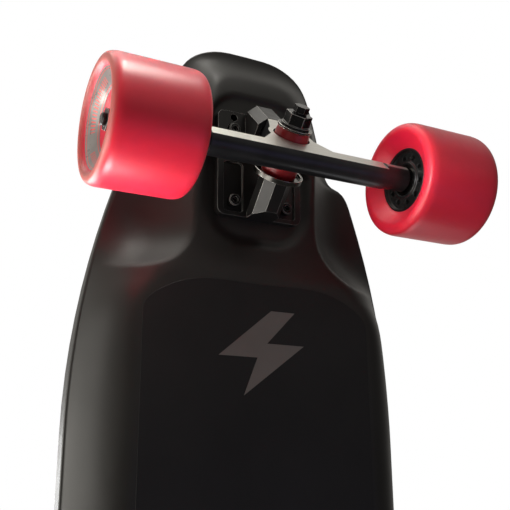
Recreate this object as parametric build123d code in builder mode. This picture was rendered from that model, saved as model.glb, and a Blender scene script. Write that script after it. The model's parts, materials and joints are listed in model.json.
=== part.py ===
from build123d import *
import os
from math import cos, radians, sin

# Electric skateboard. Millimetres, +X to the nose, +Y to the rider's left (regular
# stance facing the nose), +Z up. Origin on the ground under the middle of the deck.
# Both ends of the deck and both trucks are the same, turned half a turn about Z.

# ---------------------------------------------------------------- driving sizes
# Deck
deck_length = 940.0
deck_half_width = 123.5
wheelbase = 710.0
belly_z = 93.5            # underside of the belly above the ground
parting_z = 124.0         # joint between the lower and the upper shell
deck_top_z = 127.0        # flat middle of the standing surface
rail_height = 6.0         # how far the rails rise above the flat middle
flat_half_width = 82.0    # flat middle of the standing surface
rail_edge_z = 122.0       # lower edge of the side wall along the belly
flare_offset = 5.0        # front corner of the flare, ahead of the axle
flare_half_width = 94.5
flare_length = 180.0      # run from the flare's corner to the full width
neck_offset = 22.0        # narrow place beside the front half of the wheels
neck_half_width = 77.0
nose_half_width = 48.0    # where the nose's round corners start
nose_corner = 14.0        # length of the nose's round corners
nose_edge_z = 117.0       # lower edge of the nose
ridge_z = 98.5            # underside around the truck recess
ridge_half_width = 44.0
belly_half_width = 85.0
panel_end = 73.0          # distance from the axle to the front of the belly panel
panel_corner = 90.0       # distance from the axle to the panel's corners
panel_thickness = 1.2

# Truck recess and baseplate
recess_inboard = 40.0
recess_outboard = 71.0
recess_half_width = 38.0
recess_corner = 26.0
plate_top = 62.0          # height of the truck's seat above the axle
plate_thickness = 6.0
plate_inboard = 25.0
plate_outboard = 54.0
plate_half_width = 33.0
plate_corner = 5.0
bolt_inboard = 14.2
bolt_pitch = 53.98
bolt_pitch_long = 63.5
bolt_half_width = 20.64
bolt_radius = 2.5
bolt_head_radius = 4.4
bolt_head_height = 5.0
bolt_seat_depth = 2.0
bolt_length = 17.0
insert_radius = 4.5
insert_length = 14.0
hole_clearance = 0.25

# Steering geometry, from the axle's centre
kingpin_tilt = 45.0
ring_x = 12.0
ring_z = 17.0
kingpin_radius = 4.76
kingpin_foot = 37.9       # buried end, behind the ring's centre
kingpin_reach = 28.5      # threaded end, ahead of the ring's centre
kingpin_drive_flats = 9.2
kingpin_drive_length = 4.2
ring_back = 6.0
ring_front = 11.0
ring_radius = 16.5
ring_bore = 8.0
seat_front = 5.0          # bushing seats, from the ring's centre
seat_back = 3.0
seat_clearance = 0.6
board_bushing_radius = 12.8
board_bushing_end = 17.0
road_bushing_radius = 12.4
road_bushing_end = 16.8
washer_thickness = 1.5
board_washer_radius = 17.5
road_washer_radius = 12.0
cup_lip = 2.0
kingpin_nut_flats = 16.0
kingpin_nut_height = 9.2
boss_radius = 11.4
hood_start = 31.0         # pivot housing, along the steering axis
hood_end = 55.0
hood_top_half = 6.0
hood_half_width = 11.5
hood_height = 10.8
hood_shoulder = 5.0
hood_foot = 24.0          # reach of the housing towards the deck
pivot_radius = 5.5
pivot_end = 48.0
pivot_cup_start = 39.0
pivot_cup_end = 51.5
pivot_cup_radius = 8.4
running_fit = 0.05

# Hanger and axle
bar_radius = 9.4
bar_end_radius = 8.7
bar_shoulder = 66.0
hanger_half = 83.5
web_half_width = 30.0
stem_radius = 7.0
axle_radius = 4.0
axle_half = 133.0
axle_nut_flats = 13.0
axle_nut_height = 6.0
ring_washer_radius = 5.6
ring_washer_thickness = 1.5

# Wheels
wheel_radius = 40.0
wheel_inner = 77.3        # inner face, from the middle of the board
wheel_width = 60.0
tread_round = 4.5
dish_radius = 33.0
dish_depth = 7.0
core_radius = 22.5
hub_length = 38.0          # from the inner bearing's outside to the outer one's
bearing_seat_wall = 1.0   # the core's wall round the outer bearing
hub_hole_gap = 1.5        # from that wall to the hub hole in the urethane
bevel_radius = 20.0       # outside of the bevel round the hub hole
bevel_depth = 10.0
print_radius = 31.0       # outside of the coned face
print_depth = 3.3
tread_arc = 6.5
core_cover = 1.2
race_split = 5.95         # outside of the inner race
bearing_radius = 11.0
bearing_width = 7.0
core_holes = 10
core_hole_pitch = 16.2
core_hole_radius = 1.9

# In-wheel motors of the rear wheels
motor_radius = 31.0
can_wall = 2.5
magnet_thickness = 1.9
air_gap = 0.6
motor_magnets = 14
stator_teeth = 12
stator_length = 20.0
stator_hub_radius = 8.0
motor_race_split = 9.5
motor_bearing_radius = 13.0
motor_bearing_width = 5.0

# Bays, battery and electronics
bay_floor_z = 97.5
battery_bay_half_length = 150.0
battery_bay_half_width = 76.0
small_bay_length = 92.0
small_bay_half_width = 68.0
bay_wall = 30.0
cell_radius = 9.2
cell_length = 65.0
cell_gap = 0.2            # between two cells side by side
battery_end_room = 5.0    # least room between the battery case and the bay's ends
case_wall = 2.0
case_gap = 0.3
board_thickness = 1.6
heatsink_height = 9.0

# Lid over the battery
lid_end_overlap = 12.0
lid_side_overlap = 5.0
lid_gap = 0.6
lid_corner = 12.0
hinge_pin_radius = 1.0
hinge_barrel_radius = 1.9
hinge_half_length = 50.0
hinge_knuckles = 5
hinge_leaf = 14.0
hinge_leaf_thickness = 0.9
tape_thickness = 0.8
tape_margin = 5.0
scoop_length = 16.0
scoop_half_width = 18.0
scoop_depth = 9.0
magnet_radius = 4.0
magnet_height = 3.0
striker_thickness = 1.0

# Switch and charging socket on the tail
panel_x = 430.0
button_y = -28.0
button_radius = 7.0
button_travel = 1.5
bezel_radius = 9.0
bezel_depth = 9.0
socket_y = 16.0
socket_bore = 5.5
socket_bore_depth = 10.0
socket_radius = 8.0
cover_pivot_y = -4.0
cover_post_radius = 1.5
cover_thickness = 2.0
cover_gap = 0.3

# ---------------------------------------------------------------- derived places
half_length = deck_length / 2
axle_x = wheelbase / 2
axle_z = wheel_radius
wheel_outer = wheel_inner + wheel_width
seat_z = axle_z + plate_top
tape_top_z = deck_top_z + tape_thickness
rail_run = deck_half_width - flat_half_width
rail_radius = (rail_run ** 2 + rail_height ** 2) / (2 * rail_height)
lid_half_length = battery_bay_half_length + lid_end_overlap
lid_half_width = battery_bay_half_width + lid_side_overlap - lid_gap
hinge_x = lid_half_length + lid_gap
hub_hole_radius = bearing_radius + bearing_seat_wall + hub_hole_gap
scoop_x = -lid_half_length - scoop_length / 2 + 4
hinge_z = deck_top_z + hinge_barrel_radius + 0.1
small_bay_x = battery_bay_half_length + bay_wall + small_bay_length / 2

tilt = radians(kingpin_tilt)
kingpin_dir = Vector(sin(tilt), 0, -cos(tilt))
steer_dir = Vector(cos(tilt), 0, sin(tilt))
ring_centre = Vector(ring_x, 0, ring_z)
# u along the steering axis, extrusion along the kingpin
ring_plane = Plane(origin=ring_centre, x_dir=steer_dir, z_dir=kingpin_dir)
# extrusion along the steering axis, local x along the kingpin
pivot_plane = Plane(origin=ring_centre, x_dir=kingpin_dir, z_dir=steer_dir)

front_truck = Location((axle_x, 0, axle_z))
rear_truck = Location((-axle_x, 0, axle_z), (0, 0, 180))
half_turn = Location((0, 0, 0), (0, 0, 180))

os.makedirs("parts", exist_ok=True)


def write(shape, label):
    """Label one finished piece and write it as a STEP file."""
    shape.label = label
    export_step(shape, "parts/" + label + ".step")


def write_group(shapes, label):
    """Write several separate solids as one node."""
    write(Compound(children=list(shapes)), label)


def write_at_trucks(shape, name):
    """Write a truck's piece once for each truck."""
    write(shape.moved(front_truck), "front_" + name)
    write(shape.moved(rear_truck), "rear_" + name)


# ---------------------------------------------------------------- deck
def deck_quarter(inset):
    """Points and curves of a quarter of the deck's outline, drawn in by inset."""
    width = deck_half_width - inset
    flare = flare_half_width - inset
    corner_x = axle_x + flare_offset - inset
    tip_x = half_length - inset
    nose = nose_half_width - inset
    neck = neck_half_width - inset
    shoulder_x = tip_x - nose_corner
    neck_x = axle_x + neck_offset - inset
    slope = 2 * (width - flare)
    nose_points = [
        (tip_x, 0),
        (tip_x - 2.7, nose * 0.62),
        (shoulder_x, nose),
        (shoulder_x - 22, nose + 0.36 * (neck - nose)),
        (neck_x + 28, neck - 0.36 * (neck - nose)),
        (neck_x, neck),
        (corner_x, flare),
    ]
    Spline(*nose_points, tangents=[(0, 1), (-flare_length, slope)])
    Bezier((corner_x, flare), (corner_x - flare_length / 2, width), (corner_x - flare_length, width))
    Line((corner_x - flare_length, width), (0, width))


def deck_outline(inset=0.0):
    """Face of the whole deck seen from above."""
    with BuildSketch(Plane.XY, mode=Mode.PRIVATE) as outline:
        with BuildLine():
            deck_quarter(inset)
            mirror(about=Plane.XZ)
            mirror(about=Plane.YZ)
        make_face()
    return outline.sketch_local


def top_curve(lift):
    """Face, for a Y-Z plane, of all that lies above the standing surface."""
    far = deck_half_width + 12
    height = deck_top_z + lift
    rise = rail_radius - (rail_radius ** 2 - (far - flat_half_width) ** 2) ** 0.5
    with BuildSketch(Plane.XY, mode=Mode.PRIVATE) as above:
        with BuildLine():
            Line((-flat_half_width, height), (flat_half_width, height))
            TangentArc((flat_half_width, height), (far, height + rise), tangent=(1, 0))
            Polyline((far, height + rise), (far, height + 40), (-far, height + 40), (-far, height + rise))
            TangentArc((-flat_half_width, height), (-far, height + rise), tangent=(-1, 0))
        make_face()
    return above.sketch_local


def half_width_at(x):
    """Half-width of the deck between its middle and the flare's corner."""
    run = (axle_x + flare_offset - x) / flare_length
    if run >= 1:
        return deck_half_width
    return deck_half_width - (deck_half_width - flare_half_width) * (1 - run) ** 2


def hull_stations():
    """Half of the hull: x, belly half-width, belly height, rail half-width, rail height."""
    panel_x_end = axle_x - panel_end
    corner_x = axle_x - panel_corner
    edge = rail_edge_z
    full_x = axle_x + flare_offset - flare_length
    return [
        (full_x, belly_half_width, belly_z, deck_half_width, edge),
        (corner_x - 15, belly_half_width, belly_z, half_width_at(corner_x - 15), edge),
        (corner_x, belly_half_width - 3, belly_z, half_width_at(corner_x), edge),
        (panel_x_end, 66, belly_z, half_width_at(panel_x_end), edge + 1),
        (axle_x - 48, 50, ridge_z, half_width_at(axle_x - 48), edge + 3),
        (axle_x, ridge_half_width, ridge_z, flare_half_width, edge + 4),
        (axle_x + neck_offset, ridge_half_width, ridge_z, neck_half_width, edge + 2),
        (axle_x + recess_outboard, 40, ridge_z, nose_half_width + 13, edge - 2),
        (half_length - nose_corner, 24, ridge_z + 9, nose_half_width, nose_edge_z + 1),
        (half_length + 5, 16, nose_edge_z + 1, 30, nose_edge_z + 4),
    ]


def hull_section(belly_half, belly_height, rail_half, rail_height_z):
    """Hexagon of one station, carried past the rail so the outline trims it."""
    over = 14.0
    slope = (rail_height_z - belly_height) / (rail_half - belly_half)
    edge_half = rail_half + over
    edge_z = rail_height_z + slope * over
    roof_z = parting_z + 40
    Polygon(
        (-belly_half, belly_height),
        (belly_half, belly_height),
        (edge_half, edge_z),
        (edge_half, roof_z),
        (-edge_half, roof_z),
        (-edge_half, edge_z),
        align=None,
    )


front_half = hull_stations()
rear_half = [(-s[0],) + s[1:] for s in reversed(front_half)]

recess_length = recess_inboard + recess_outboard
recess_centre = axle_x + (recess_outboard - recess_inboard) / 2
bolt_spots = [
    (side_x * (axle_x + along), side_y * bolt_half_width)
    for side_x in (1, -1)
    for along in (-bolt_inboard, bolt_pitch - bolt_inboard)
    for side_y in (1, -1)
]


def panel_outline(inset=0.0):
    """Face of the belly panel: straight sides, arched ends with round corners."""
    half = belly_half_width - inset
    corner_x = axle_x - panel_corner - inset
    end_x = axle_x - panel_end - inset
    shoulder = (end_x - 5, half - 22)
    with BuildSketch(Plane.XY, mode=Mode.PRIVATE) as panel:
        with BuildLine():
            Spline((end_x, 0), shoulder, (corner_x, half - 3), (corner_x - 9, half), tangents=[(0, 1), (-1, 0)])
            Line((corner_x - 9, half), (0, half))
            mirror(about=Plane.XZ)
            mirror(about=Plane.YZ)
        make_face()
    return panel.sketch_local


magnet_spots = [(-battery_bay_half_length - lid_end_overlap / 2, side * 52) for side in (1, -1)]

with BuildPart() as deck_lower_shell:
    for x, belly_half, height, rail_half, rail_z in rear_half + front_half:
        with BuildSketch(Plane.YZ.offset(x)):
            hull_section(belly_half, height, rail_half, rail_z)
    loft(ruled=True)
    with BuildSketch(Plane.XY.offset(belly_z)):
        add(deck_outline())
    extrude(amount=parting_z - belly_z, mode=Mode.INTERSECT)
    # truck recesses
    with BuildSketch(Plane.XY.offset(belly_z)):
        with Locations((recess_centre, 0), (-recess_centre, 0)):
            RectangleRounded(recess_length, 2 * recess_half_width, recess_corner)
    extrude(amount=seat_z - belly_z, mode=Mode.SUBTRACT)
    # inlay for the belly panel
    with BuildSketch(Plane.XY.offset(belly_z)):
        add(panel_outline())
    extrude(amount=panel_thickness, mode=Mode.SUBTRACT)
    # battery bay and the two small bays
    with BuildSketch(Plane.XY.offset(bay_floor_z)):
        RectangleRounded(2 * battery_bay_half_length, 2 * battery_bay_half_width, 8)
        with Locations((small_bay_x, 0), (-small_bay_x, 0)):
            RectangleRounded(small_bay_length, 2 * small_bay_half_width, 8)
    extrude(amount=parting_z - bay_floor_z, mode=Mode.SUBTRACT)
    # hollow rails beside the bays
    rail_in = battery_bay_half_width + 4
    with BuildSketch(Plane.YZ.offset(-small_bay_x - small_bay_length / 2)):
        for side in (1, -1):
            Polygon(
                (side * rail_in, belly_z + 6),
                (side * (rail_in + 5), belly_z + 6),
                (side * 110, rail_edge_z - 3),
                (side * 110, parting_z),
                (side * rail_in, parting_z),
                align=None,
            )
    extrude(amount=2 * small_bay_x + small_bay_length, mode=Mode.SUBTRACT)
    # sockets for the threaded inserts
    with BuildSketch(Plane.XY.offset(seat_z)):
        with Locations(*bolt_spots):
            Circle(insert_radius)
    extrude(amount=insert_length + 5, mode=Mode.SUBTRACT)
    # finger scoop under the lid's free edge, with the magnets beside it
    with BuildSketch(Plane.XY.offset(deck_top_z - scoop_depth)):
        with Locations((scoop_x, 0)):
            RectangleRounded(scoop_length + 8, 2 * scoop_half_width, 6)
    extrude(amount=scoop_depth, mode=Mode.SUBTRACT)
    with BuildSketch(Plane.XY.offset(parting_z)):
        with Locations(*magnet_spots):
            Circle(magnet_radius)
    extrude(amount=-magnet_height, mode=Mode.SUBTRACT)
    # pockets for the switch and the charging socket in the tail
    with BuildSketch(Plane.XY.offset(deck_top_z - bezel_depth)):
        with Locations((-panel_x, button_y)):
            Circle(bezel_radius)
    extrude(amount=bezel_depth, mode=Mode.SUBTRACT)
    with BuildSketch(Plane.XY.offset(deck_top_z - socket_bore_depth - 2)):
        with Locations((-panel_x, socket_y)):
            Circle(socket_radius)
    extrude(amount=socket_bore_depth + 2, mode=Mode.SUBTRACT)
write(deck_lower_shell.part, "deck_lower_shell")

lid_hole_half_length = lid_half_length
lid_hole_half_width = lid_half_width + lid_gap

with BuildPart() as deck_upper_shell:
    with BuildSketch(Plane.XY.offset(parting_z)):
        add(deck_outline())
    extrude(amount=deck_top_z + rail_height - parting_z)
    with BuildSketch(Plane.YZ.offset(-half_length - 1)):
        add(top_curve(0))
    extrude(amount=deck_length + 2, mode=Mode.SUBTRACT)
    with BuildSketch(Plane.XY.offset(parting_z)):
        with Locations((lid_gap / 2, 0)):
            RectangleRounded(2 * lid_hole_half_length + lid_gap, 2 * lid_hole_half_width, lid_corner + lid_gap)
        with Locations((scoop_x, 0)):
            RectangleRounded(scoop_length + 8, 2 * scoop_half_width, 6)
        with Locations((-panel_x, button_y)):
            Circle(bezel_radius)
        with Locations((-panel_x, socket_y)):
            Circle(socket_radius)
    extrude(amount=20, mode=Mode.SUBTRACT)
write(deck_upper_shell.part, "deck_upper_shell")

# grip tape: follows the standing surface, cut out at the lid and at the tail's panel
with BuildPart() as grip_tape:
    with BuildSketch(Plane.XY.offset(parting_z)):
        add(deck_outline(tape_margin))
        with Locations((lid_gap / 2, 0)):
            RectangleRounded(
                2 * lid_hole_half_length + lid_gap,
                2 * lid_hole_half_width,
                lid_corner + lid_gap,
                mode=Mode.SUBTRACT,
            )
        with Locations((hinge_x + hinge_leaf / 2, 0)):
            Rectangle(hinge_leaf + 2, 2 * hinge_half_length + 2, mode=Mode.SUBTRACT)
        with Locations((scoop_x, 0)):
            RectangleRounded(scoop_length + 8, 2 * scoop_half_width, 6, mode=Mode.SUBTRACT)
        with Locations((-panel_x, button_y)):
            Circle(bezel_radius, mode=Mode.SUBTRACT)
        with Locations((-panel_x, (socket_y + cover_pivot_y) / 2)):
            RectangleRounded(2 * socket_radius + 4, 2 * socket_radius + 22, 7, mode=Mode.SUBTRACT)
    extrude(amount=20)
    with BuildSketch(Plane.YZ.offset(-half_length - 1)):
        add(top_curve(0))
        add(top_curve(tape_thickness), mode=Mode.SUBTRACT)
    extrude(amount=deck_length + 2, mode=Mode.INTERSECT)
write(grip_tape.part, "grip_tape")

with BuildPart() as belly_panel:
    with BuildSketch(Plane.XY.offset(belly_z)):
        add(panel_outline())
    extrude(amount=panel_thickness)
write(belly_panel.part, "belly_panel")

# ---------------------------------------------------------------- battery and electronics
cell_pitch = 2 * cell_radius + cell_gap
cell_run = 2 * (battery_bay_half_length - battery_end_room - case_wall - case_gap)
cell_rows = int(cell_run / cell_pitch)
case_half_length = cell_rows * cell_pitch / 2 + case_gap + case_wall
case_half_width = cell_length + case_gap + case_wall
case_inner_height = 2 * cell_radius + case_gap
case_bottom_z = bay_floor_z
case_top_z = case_bottom_z + case_wall + case_inner_height

with BuildPart() as battery_case:
    with BuildSketch(Plane.XY.offset(case_bottom_z)):
        RectangleRounded(2 * case_half_length, 2 * case_half_width, 5)
    extrude(amount=case_top_z - case_bottom_z)
    with BuildSketch(Plane.XY.offset(case_bottom_z + case_wall)):
        Rectangle(2 * (case_half_length - case_wall), 2 * (case_half_width - case_wall))
    extrude(amount=case_inner_height, mode=Mode.SUBTRACT)
write(battery_case.part, "battery_case")

with BuildPart() as battery_case_lid:
    with BuildSketch(Plane.XY.offset(case_top_z)):
        RectangleRounded(2 * case_half_length, 2 * case_half_width, 5)
    extrude(amount=case_wall)
    with BuildSketch(Plane.XY.offset(case_top_z + case_wall)):
        with Locations((case_half_length - 30, 0)):
            RectangleRounded(34, 60, 4)
    extrude(amount=-0.6, mode=Mode.SUBTRACT)
write(battery_case_lid.part, "battery_case_lid")

cell_z = case_bottom_z + case_wall + cell_radius
with BuildPart() as battery_cells:
    with BuildSketch(Plane.XZ):
        with Locations((0, cell_z)):
            with GridLocations(cell_pitch, 1, cell_rows, 1):
                Circle(cell_radius)
    extrude(amount=cell_length, both=True)
    with BuildSketch(Plane.XZ):
        with Locations((0, cell_z)):
            Rectangle(2 * case_half_length, 2 * cell_radius + 2)
    extrude(amount=0.1, both=True, mode=Mode.SUBTRACT)
write_group(battery_cells.solids(), "battery_cells")

# board in the front bay that watches the cells
with BuildPart() as battery_management_board:
    with BuildSketch(Plane.XY.offset(bay_floor_z)):
        with Locations((small_bay_x, 0)):
            with GridLocations(64, 88, 2, 2):
                Circle(2.5)
    extrude(amount=4)
    with BuildSketch(Plane.XY.offset(bay_floor_z + 4)):
        with Locations((small_bay_x, 0)):
            RectangleRounded(72, 96, 3)
    extrude(amount=board_thickness)
    with BuildSketch(Plane.XY.offset(bay_floor_z + 4 + board_thickness)):
        with Locations((small_bay_x, 0)):
            with GridLocations(0, 17, 1, 5):
                Rectangle(8, 10)
        with Locations((small_bay_x - 24, 0)):
            Rectangle(9, 74)
    extrude(amount=4)
write(battery_management_board.part, "battery_management_board")

# motor controller in the rear bay: heatsink on the floor, board on it
with BuildPart() as controller_heatsink:
    with BuildSketch(Plane.XY.offset(bay_floor_z)):
        with Locations((-small_bay_x, 0)):
            Rectangle(74, 104)
    extrude(amount=heatsink_height)
    with BuildSketch(Plane.XY.offset(bay_floor_z)):
        with Locations((-small_bay_x, 0)):
            with GridLocations(0, 8, 1, 13):
                Rectangle(76, 4)
    extrude(amount=heatsink_height - 3, mode=Mode.SUBTRACT)
write(controller_heatsink.part, "controller_heatsink")

controller_z = bay_floor_z + heatsink_height
with BuildPart() as controller_board:
    with BuildSketch(Plane.XY.offset(controller_z)):
        with Locations((-small_bay_x, 0)):
            RectangleRounded(80, 120, 3)
    extrude(amount=board_thickness)
    with BuildSketch(Plane.XY.offset(controller_z + board_thickness)):
        with Locations((-small_bay_x + 12, 0)):
            with GridLocations(14, 18, 2, 6):
                Rectangle(10, 12)
    extrude(amount=3)
    with BuildSketch(Plane.XY.offset(controller_z + board_thickness)):
        with Locations((-small_bay_x - 26, 0)):
            with GridLocations(0, 18, 1, 6):
                Circle(6.5)
    extrude(amount=13)
write(controller_board.part, "controller_board")

# ---------------------------------------------------------------- lid
with BuildPart() as battery_lid:
    with BuildSketch(Plane.XY.offset(parting_z)):
        RectangleRounded(2 * (lid_half_length - lid_gap), 2 * lid_half_width, lid_corner)
    extrude(amount=deck_top_z - parting_z)
    with BuildSketch(Plane.XY.offset(parting_z)):
        with Locations(*magnet_spots):
            Circle(magnet_radius)
    extrude(amount=striker_thickness, mode=Mode.SUBTRACT)
write(battery_lid.part, "battery_lid")

with BuildPart() as lid_magnets:
    with BuildSketch(Plane.XY.offset(parting_z - magnet_height)):
        with Locations(*magnet_spots):
            Circle(magnet_radius)
    extrude(amount=magnet_height - running_fit)
write_group(lid_magnets.solids(), "lid_magnets")

with BuildPart() as lid_strikers:
    with BuildSketch(Plane.XY.offset(parting_z + striker_thickness)):
        with Locations(*magnet_spots):
            Circle(magnet_radius)
    extrude(amount=-striker_thickness)
write_group(lid_strikers.solids(), "lid_strikers")

with BuildPart() as lid_grip_tape:
    with BuildSketch(Plane.XY.offset(deck_top_z)):
        RectangleRounded(2 * (lid_half_length - lid_gap) - 2, 2 * lid_half_width - 2, lid_corner - 1)
        with Locations((lid_half_length - hinge_leaf / 2, 0)):
            Rectangle(hinge_leaf + 2, 2 * hinge_half_length + 2, mode=Mode.SUBTRACT)
    extrude(amount=tape_thickness)
write(lid_grip_tape.part, "lid_grip_tape")

# piano hinge on the standing surface, at the lid's front edge
knuckle_length = 2 * hinge_half_length / hinge_knuckles


def knuckle_centres(first):
    """Middles of every second knuckle along the hinge."""
    start = -hinge_half_length + knuckle_length / 2
    return [start + i * knuckle_length for i in range(first, hinge_knuckles, 2)]


def hinge_leaf_part(side, first, bore):
    """One leaf of the hinge: side +1 lies on the deck, -1 on the lid."""
    with BuildPart() as leaf:
        with BuildSketch(Plane.XY.offset(deck_top_z)):
            with Locations((hinge_x + side * (hinge_leaf / 2 + 1.2), 0)):
                Rectangle(hinge_leaf - 1.4, 2 * hinge_half_length)
        extrude(amount=hinge_leaf_thickness)
        for y in knuckle_centres(first):
            with BuildSketch(Plane.XZ.offset(-y)):
                with Locations((hinge_x, hinge_z)):
                    Circle(hinge_barrel_radius)
            extrude(amount=knuckle_length / 2 - 0.15, both=True)
            with BuildSketch(Plane.XY.offset(deck_top_z)):
                with Locations((hinge_x + side * 1.3, y)):
                    Rectangle(2.6, knuckle_length - 0.3)
            extrude(amount=hinge_leaf_thickness)
        with BuildSketch(Plane.XZ):
            with Locations((hinge_x, hinge_z)):
                Circle(bore)
        extrude(amount=hinge_half_length + 1, both=True, mode=Mode.SUBTRACT)
    return leaf.part


write(hinge_leaf_part(1, 0, hinge_pin_radius), "hinge_leaf_deck")
write(hinge_leaf_part(-1, 1, hinge_pin_radius + running_fit), "hinge_leaf_lid")

with BuildPart() as hinge_pin:
    with BuildSketch(Plane.XZ):
        with Locations((hinge_x, hinge_z)):
            Circle(hinge_pin_radius)
    extrude(amount=hinge_half_length, both=True)
write(hinge_pin.part, "hinge_pin")

# ---------------------------------------------------------------- tail panel
with BuildPart() as button_bezel:
    with BuildSketch(Plane.XY.offset(deck_top_z - bezel_depth)):
        with Locations((-panel_x, button_y)):
            Circle(bezel_radius)
    extrude(amount=bezel_depth + tape_thickness)
    with BuildSketch(Plane.XY.offset(deck_top_z - bezel_depth + 2)):
        with Locations((-panel_x, button_y)):
            Circle(button_radius + running_fit)
    extrude(amount=bezel_depth + tape_thickness, mode=Mode.SUBTRACT)
write(button_bezel.part, "button_bezel")

with BuildPart() as power_button:
    with BuildSketch(Plane.XY.offset(deck_top_z - bezel_depth + 2 + button_travel + 0.2)):
        with Locations((-panel_x, button_y)):
            Circle(button_radius)
    extrude(amount=bezel_depth + tape_thickness - 2.2 - button_travel)
write(power_button.part, "power_button")

with BuildPart() as charge_socket:
    with BuildSketch(Plane.XY.offset(deck_top_z - socket_bore_depth - 2)):
        with Locations((-panel_x, socket_y)):
            Circle(socket_radius)
    extrude(amount=socket_bore_depth + 2)
    with BuildSketch(Plane.XY.offset(deck_top_z)):
        with Locations((-panel_x, socket_y)):
            Circle(socket_radius + 1)
        with Locations((-panel_x, cover_pivot_y)):
            Circle(cover_post_radius + 1.7)
        make_hull()
    extrude(amount=tape_thickness)
    # headed post that the cover swings on
    with BuildSketch(Plane.XY.offset(tape_top_z)):
        with Locations((-panel_x, cover_pivot_y)):
            Circle(cover_post_radius)
    extrude(amount=cover_gap + cover_thickness + running_fit)
    with BuildSketch(Plane.XY.offset(tape_top_z + cover_gap + cover_thickness + running_fit)):
        with Locations((-panel_x, cover_pivot_y)):
            Circle(cover_post_radius + 1.3)
    extrude(amount=1)
    with BuildSketch(Plane.XY.offset(tape_top_z)):
        with Locations((-panel_x, socket_y)):
            Circle(socket_bore)
    extrude(amount=-socket_bore_depth, mode=Mode.SUBTRACT)
write(charge_socket.part, "charge_socket")

with BuildPart() as charge_cover:
    with BuildSketch(Plane.XY.offset(deck_top_z + tape_thickness + cover_gap)):
        with Locations((-panel_x, cover_pivot_y)):
            Circle(4.5)
        with Locations((-panel_x, socket_y)):
            Circle(socket_radius + 1)
        make_hull()
        with Locations((-panel_x, cover_pivot_y)):
            Circle(cover_post_radius + running_fit, mode=Mode.SUBTRACT)
    extrude(amount=cover_thickness)
write(charge_cover.part, "charge_cover")

# ---------------------------------------------------------------- truck fasteners
bolt_seat_z = seat_z - plate_thickness + bolt_seat_depth

with BuildPart() as deck_inserts:
    with BuildSketch(Plane.XY.offset(seat_z)):
        with Locations(*bolt_spots):
            Circle(insert_radius)
            Circle(bolt_radius, mode=Mode.SUBTRACT)
    extrude(amount=insert_length)
write_group(deck_inserts.solids(), "deck_inserts")

with BuildPart() as truck_bolts:
    with BuildSketch(Plane.XY.offset(bolt_seat_z)):
        with Locations(*bolt_spots):
            Circle(bolt_radius)
    extrude(amount=bolt_length)
    with BuildSketch(Plane.XY.offset(bolt_seat_z - bolt_head_height)):
        with Locations(*bolt_spots):
            Circle(bolt_head_radius)
    extrude(amount=bolt_head_height)
    chamfer(truck_bolts.faces().sort_by(Axis.Z)[:8].edges(), 0.6)
    with BuildSketch(Plane.XY.offset(bolt_seat_z - bolt_head_height)):
        with Locations(*bolt_spots):
            RegularPolygon(2.3, 6)
    extrude(amount=2.6, mode=Mode.SUBTRACT)
write_group(truck_bolts.solids(), "truck_bolts")

# ---------------------------------------------------------------- baseplate
# Truck pieces are drawn about the axle's centre and then placed at both ends.
plate_length = plate_outboard + plate_inboard
plate_centre_x = (plate_outboard - plate_inboard) / 2
window_half_length = 18.5
window_x = -3.5
window_y = 21.0
window_half_width = 7.5
hole_spots = [
    (along, side * bolt_half_width)
    for along in (-bolt_inboard, bolt_pitch - bolt_inboard)
    for side in (1, -1)
]
long_spots = [(bolt_pitch_long - bolt_inboard, side * bolt_half_width) for side in (1, -1)]

with BuildPart() as baseplate:
    with BuildSketch(Plane.XY.offset(plate_top)):
        with Locations((plate_centre_x, 0)):
            RectangleRounded(plate_length, 2 * plate_half_width, plate_corner)
    extrude(amount=-plate_thickness)
    # kingpin boss: eight-sided, square to the kingpin
    with BuildSketch(ring_plane.offset(-board_bushing_end - washer_thickness)):
        RegularPolygon(boss_radius, 8, rotation=22.5)
    extrude(amount=-60)
    # pivot housing: a faceted hood along the steering axis
    with BuildSketch(pivot_plane.offset(hood_start)):
        Polygon(
            (hood_height, -hood_top_half),
            (hood_height, hood_top_half),
            (hood_shoulder, hood_half_width),
            (-hood_foot, hood_half_width),
            (-hood_foot, -hood_half_width),
            (hood_shoulder, -hood_half_width),
            align=None,
        )
    extrude(amount=hood_end - hood_start)
    # everything stays between the plate's inboard end and the deck's seat
    with BuildSketch(Plane.XZ):
        Polygon(
            (-plate_inboard, -20),
            (plate_outboard + 20, -20),
            (plate_outboard + 20, plate_top),
            (-plate_inboard, plate_top),
            align=None,
        )
    extrude(amount=plate_half_width + 1, both=True, mode=Mode.INTERSECT)
    # long windows beside the boss, and spot faces under the outboard bolts
    with BuildSketch(Plane.XY.offset(plate_top - plate_thickness)):
        with Locations((window_x, window_y), (window_x, -window_y)):
            RectangleRounded(2 * window_half_length, 2 * window_half_width, 2.5)
        with Locations(*hole_spots[2:]):
            Circle(bolt_head_radius + 1)
    extrude(amount=bolt_seat_depth, mode=Mode.SUBTRACT)
    with BuildSketch(Plane.XY.offset(plate_top)):
        with Locations(*hole_spots, *long_spots):
            Circle(bolt_radius + hole_clearance)
    extrude(amount=-plate_thickness, mode=Mode.SUBTRACT)
    # blind bores for the kingpin and the pivot cup
    with BuildSketch(ring_plane.offset(-board_bushing_end - washer_thickness)):
        Circle(kingpin_radius)
    extrude(amount=-(kingpin_foot - board_bushing_end - washer_thickness), mode=Mode.SUBTRACT)
    with BuildSketch(pivot_plane.offset(hood_start)):
        Circle(pivot_cup_radius)
    extrude(amount=pivot_cup_end - hood_start, mode=Mode.SUBTRACT)
write_at_trucks(baseplate.part, "baseplate")

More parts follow.
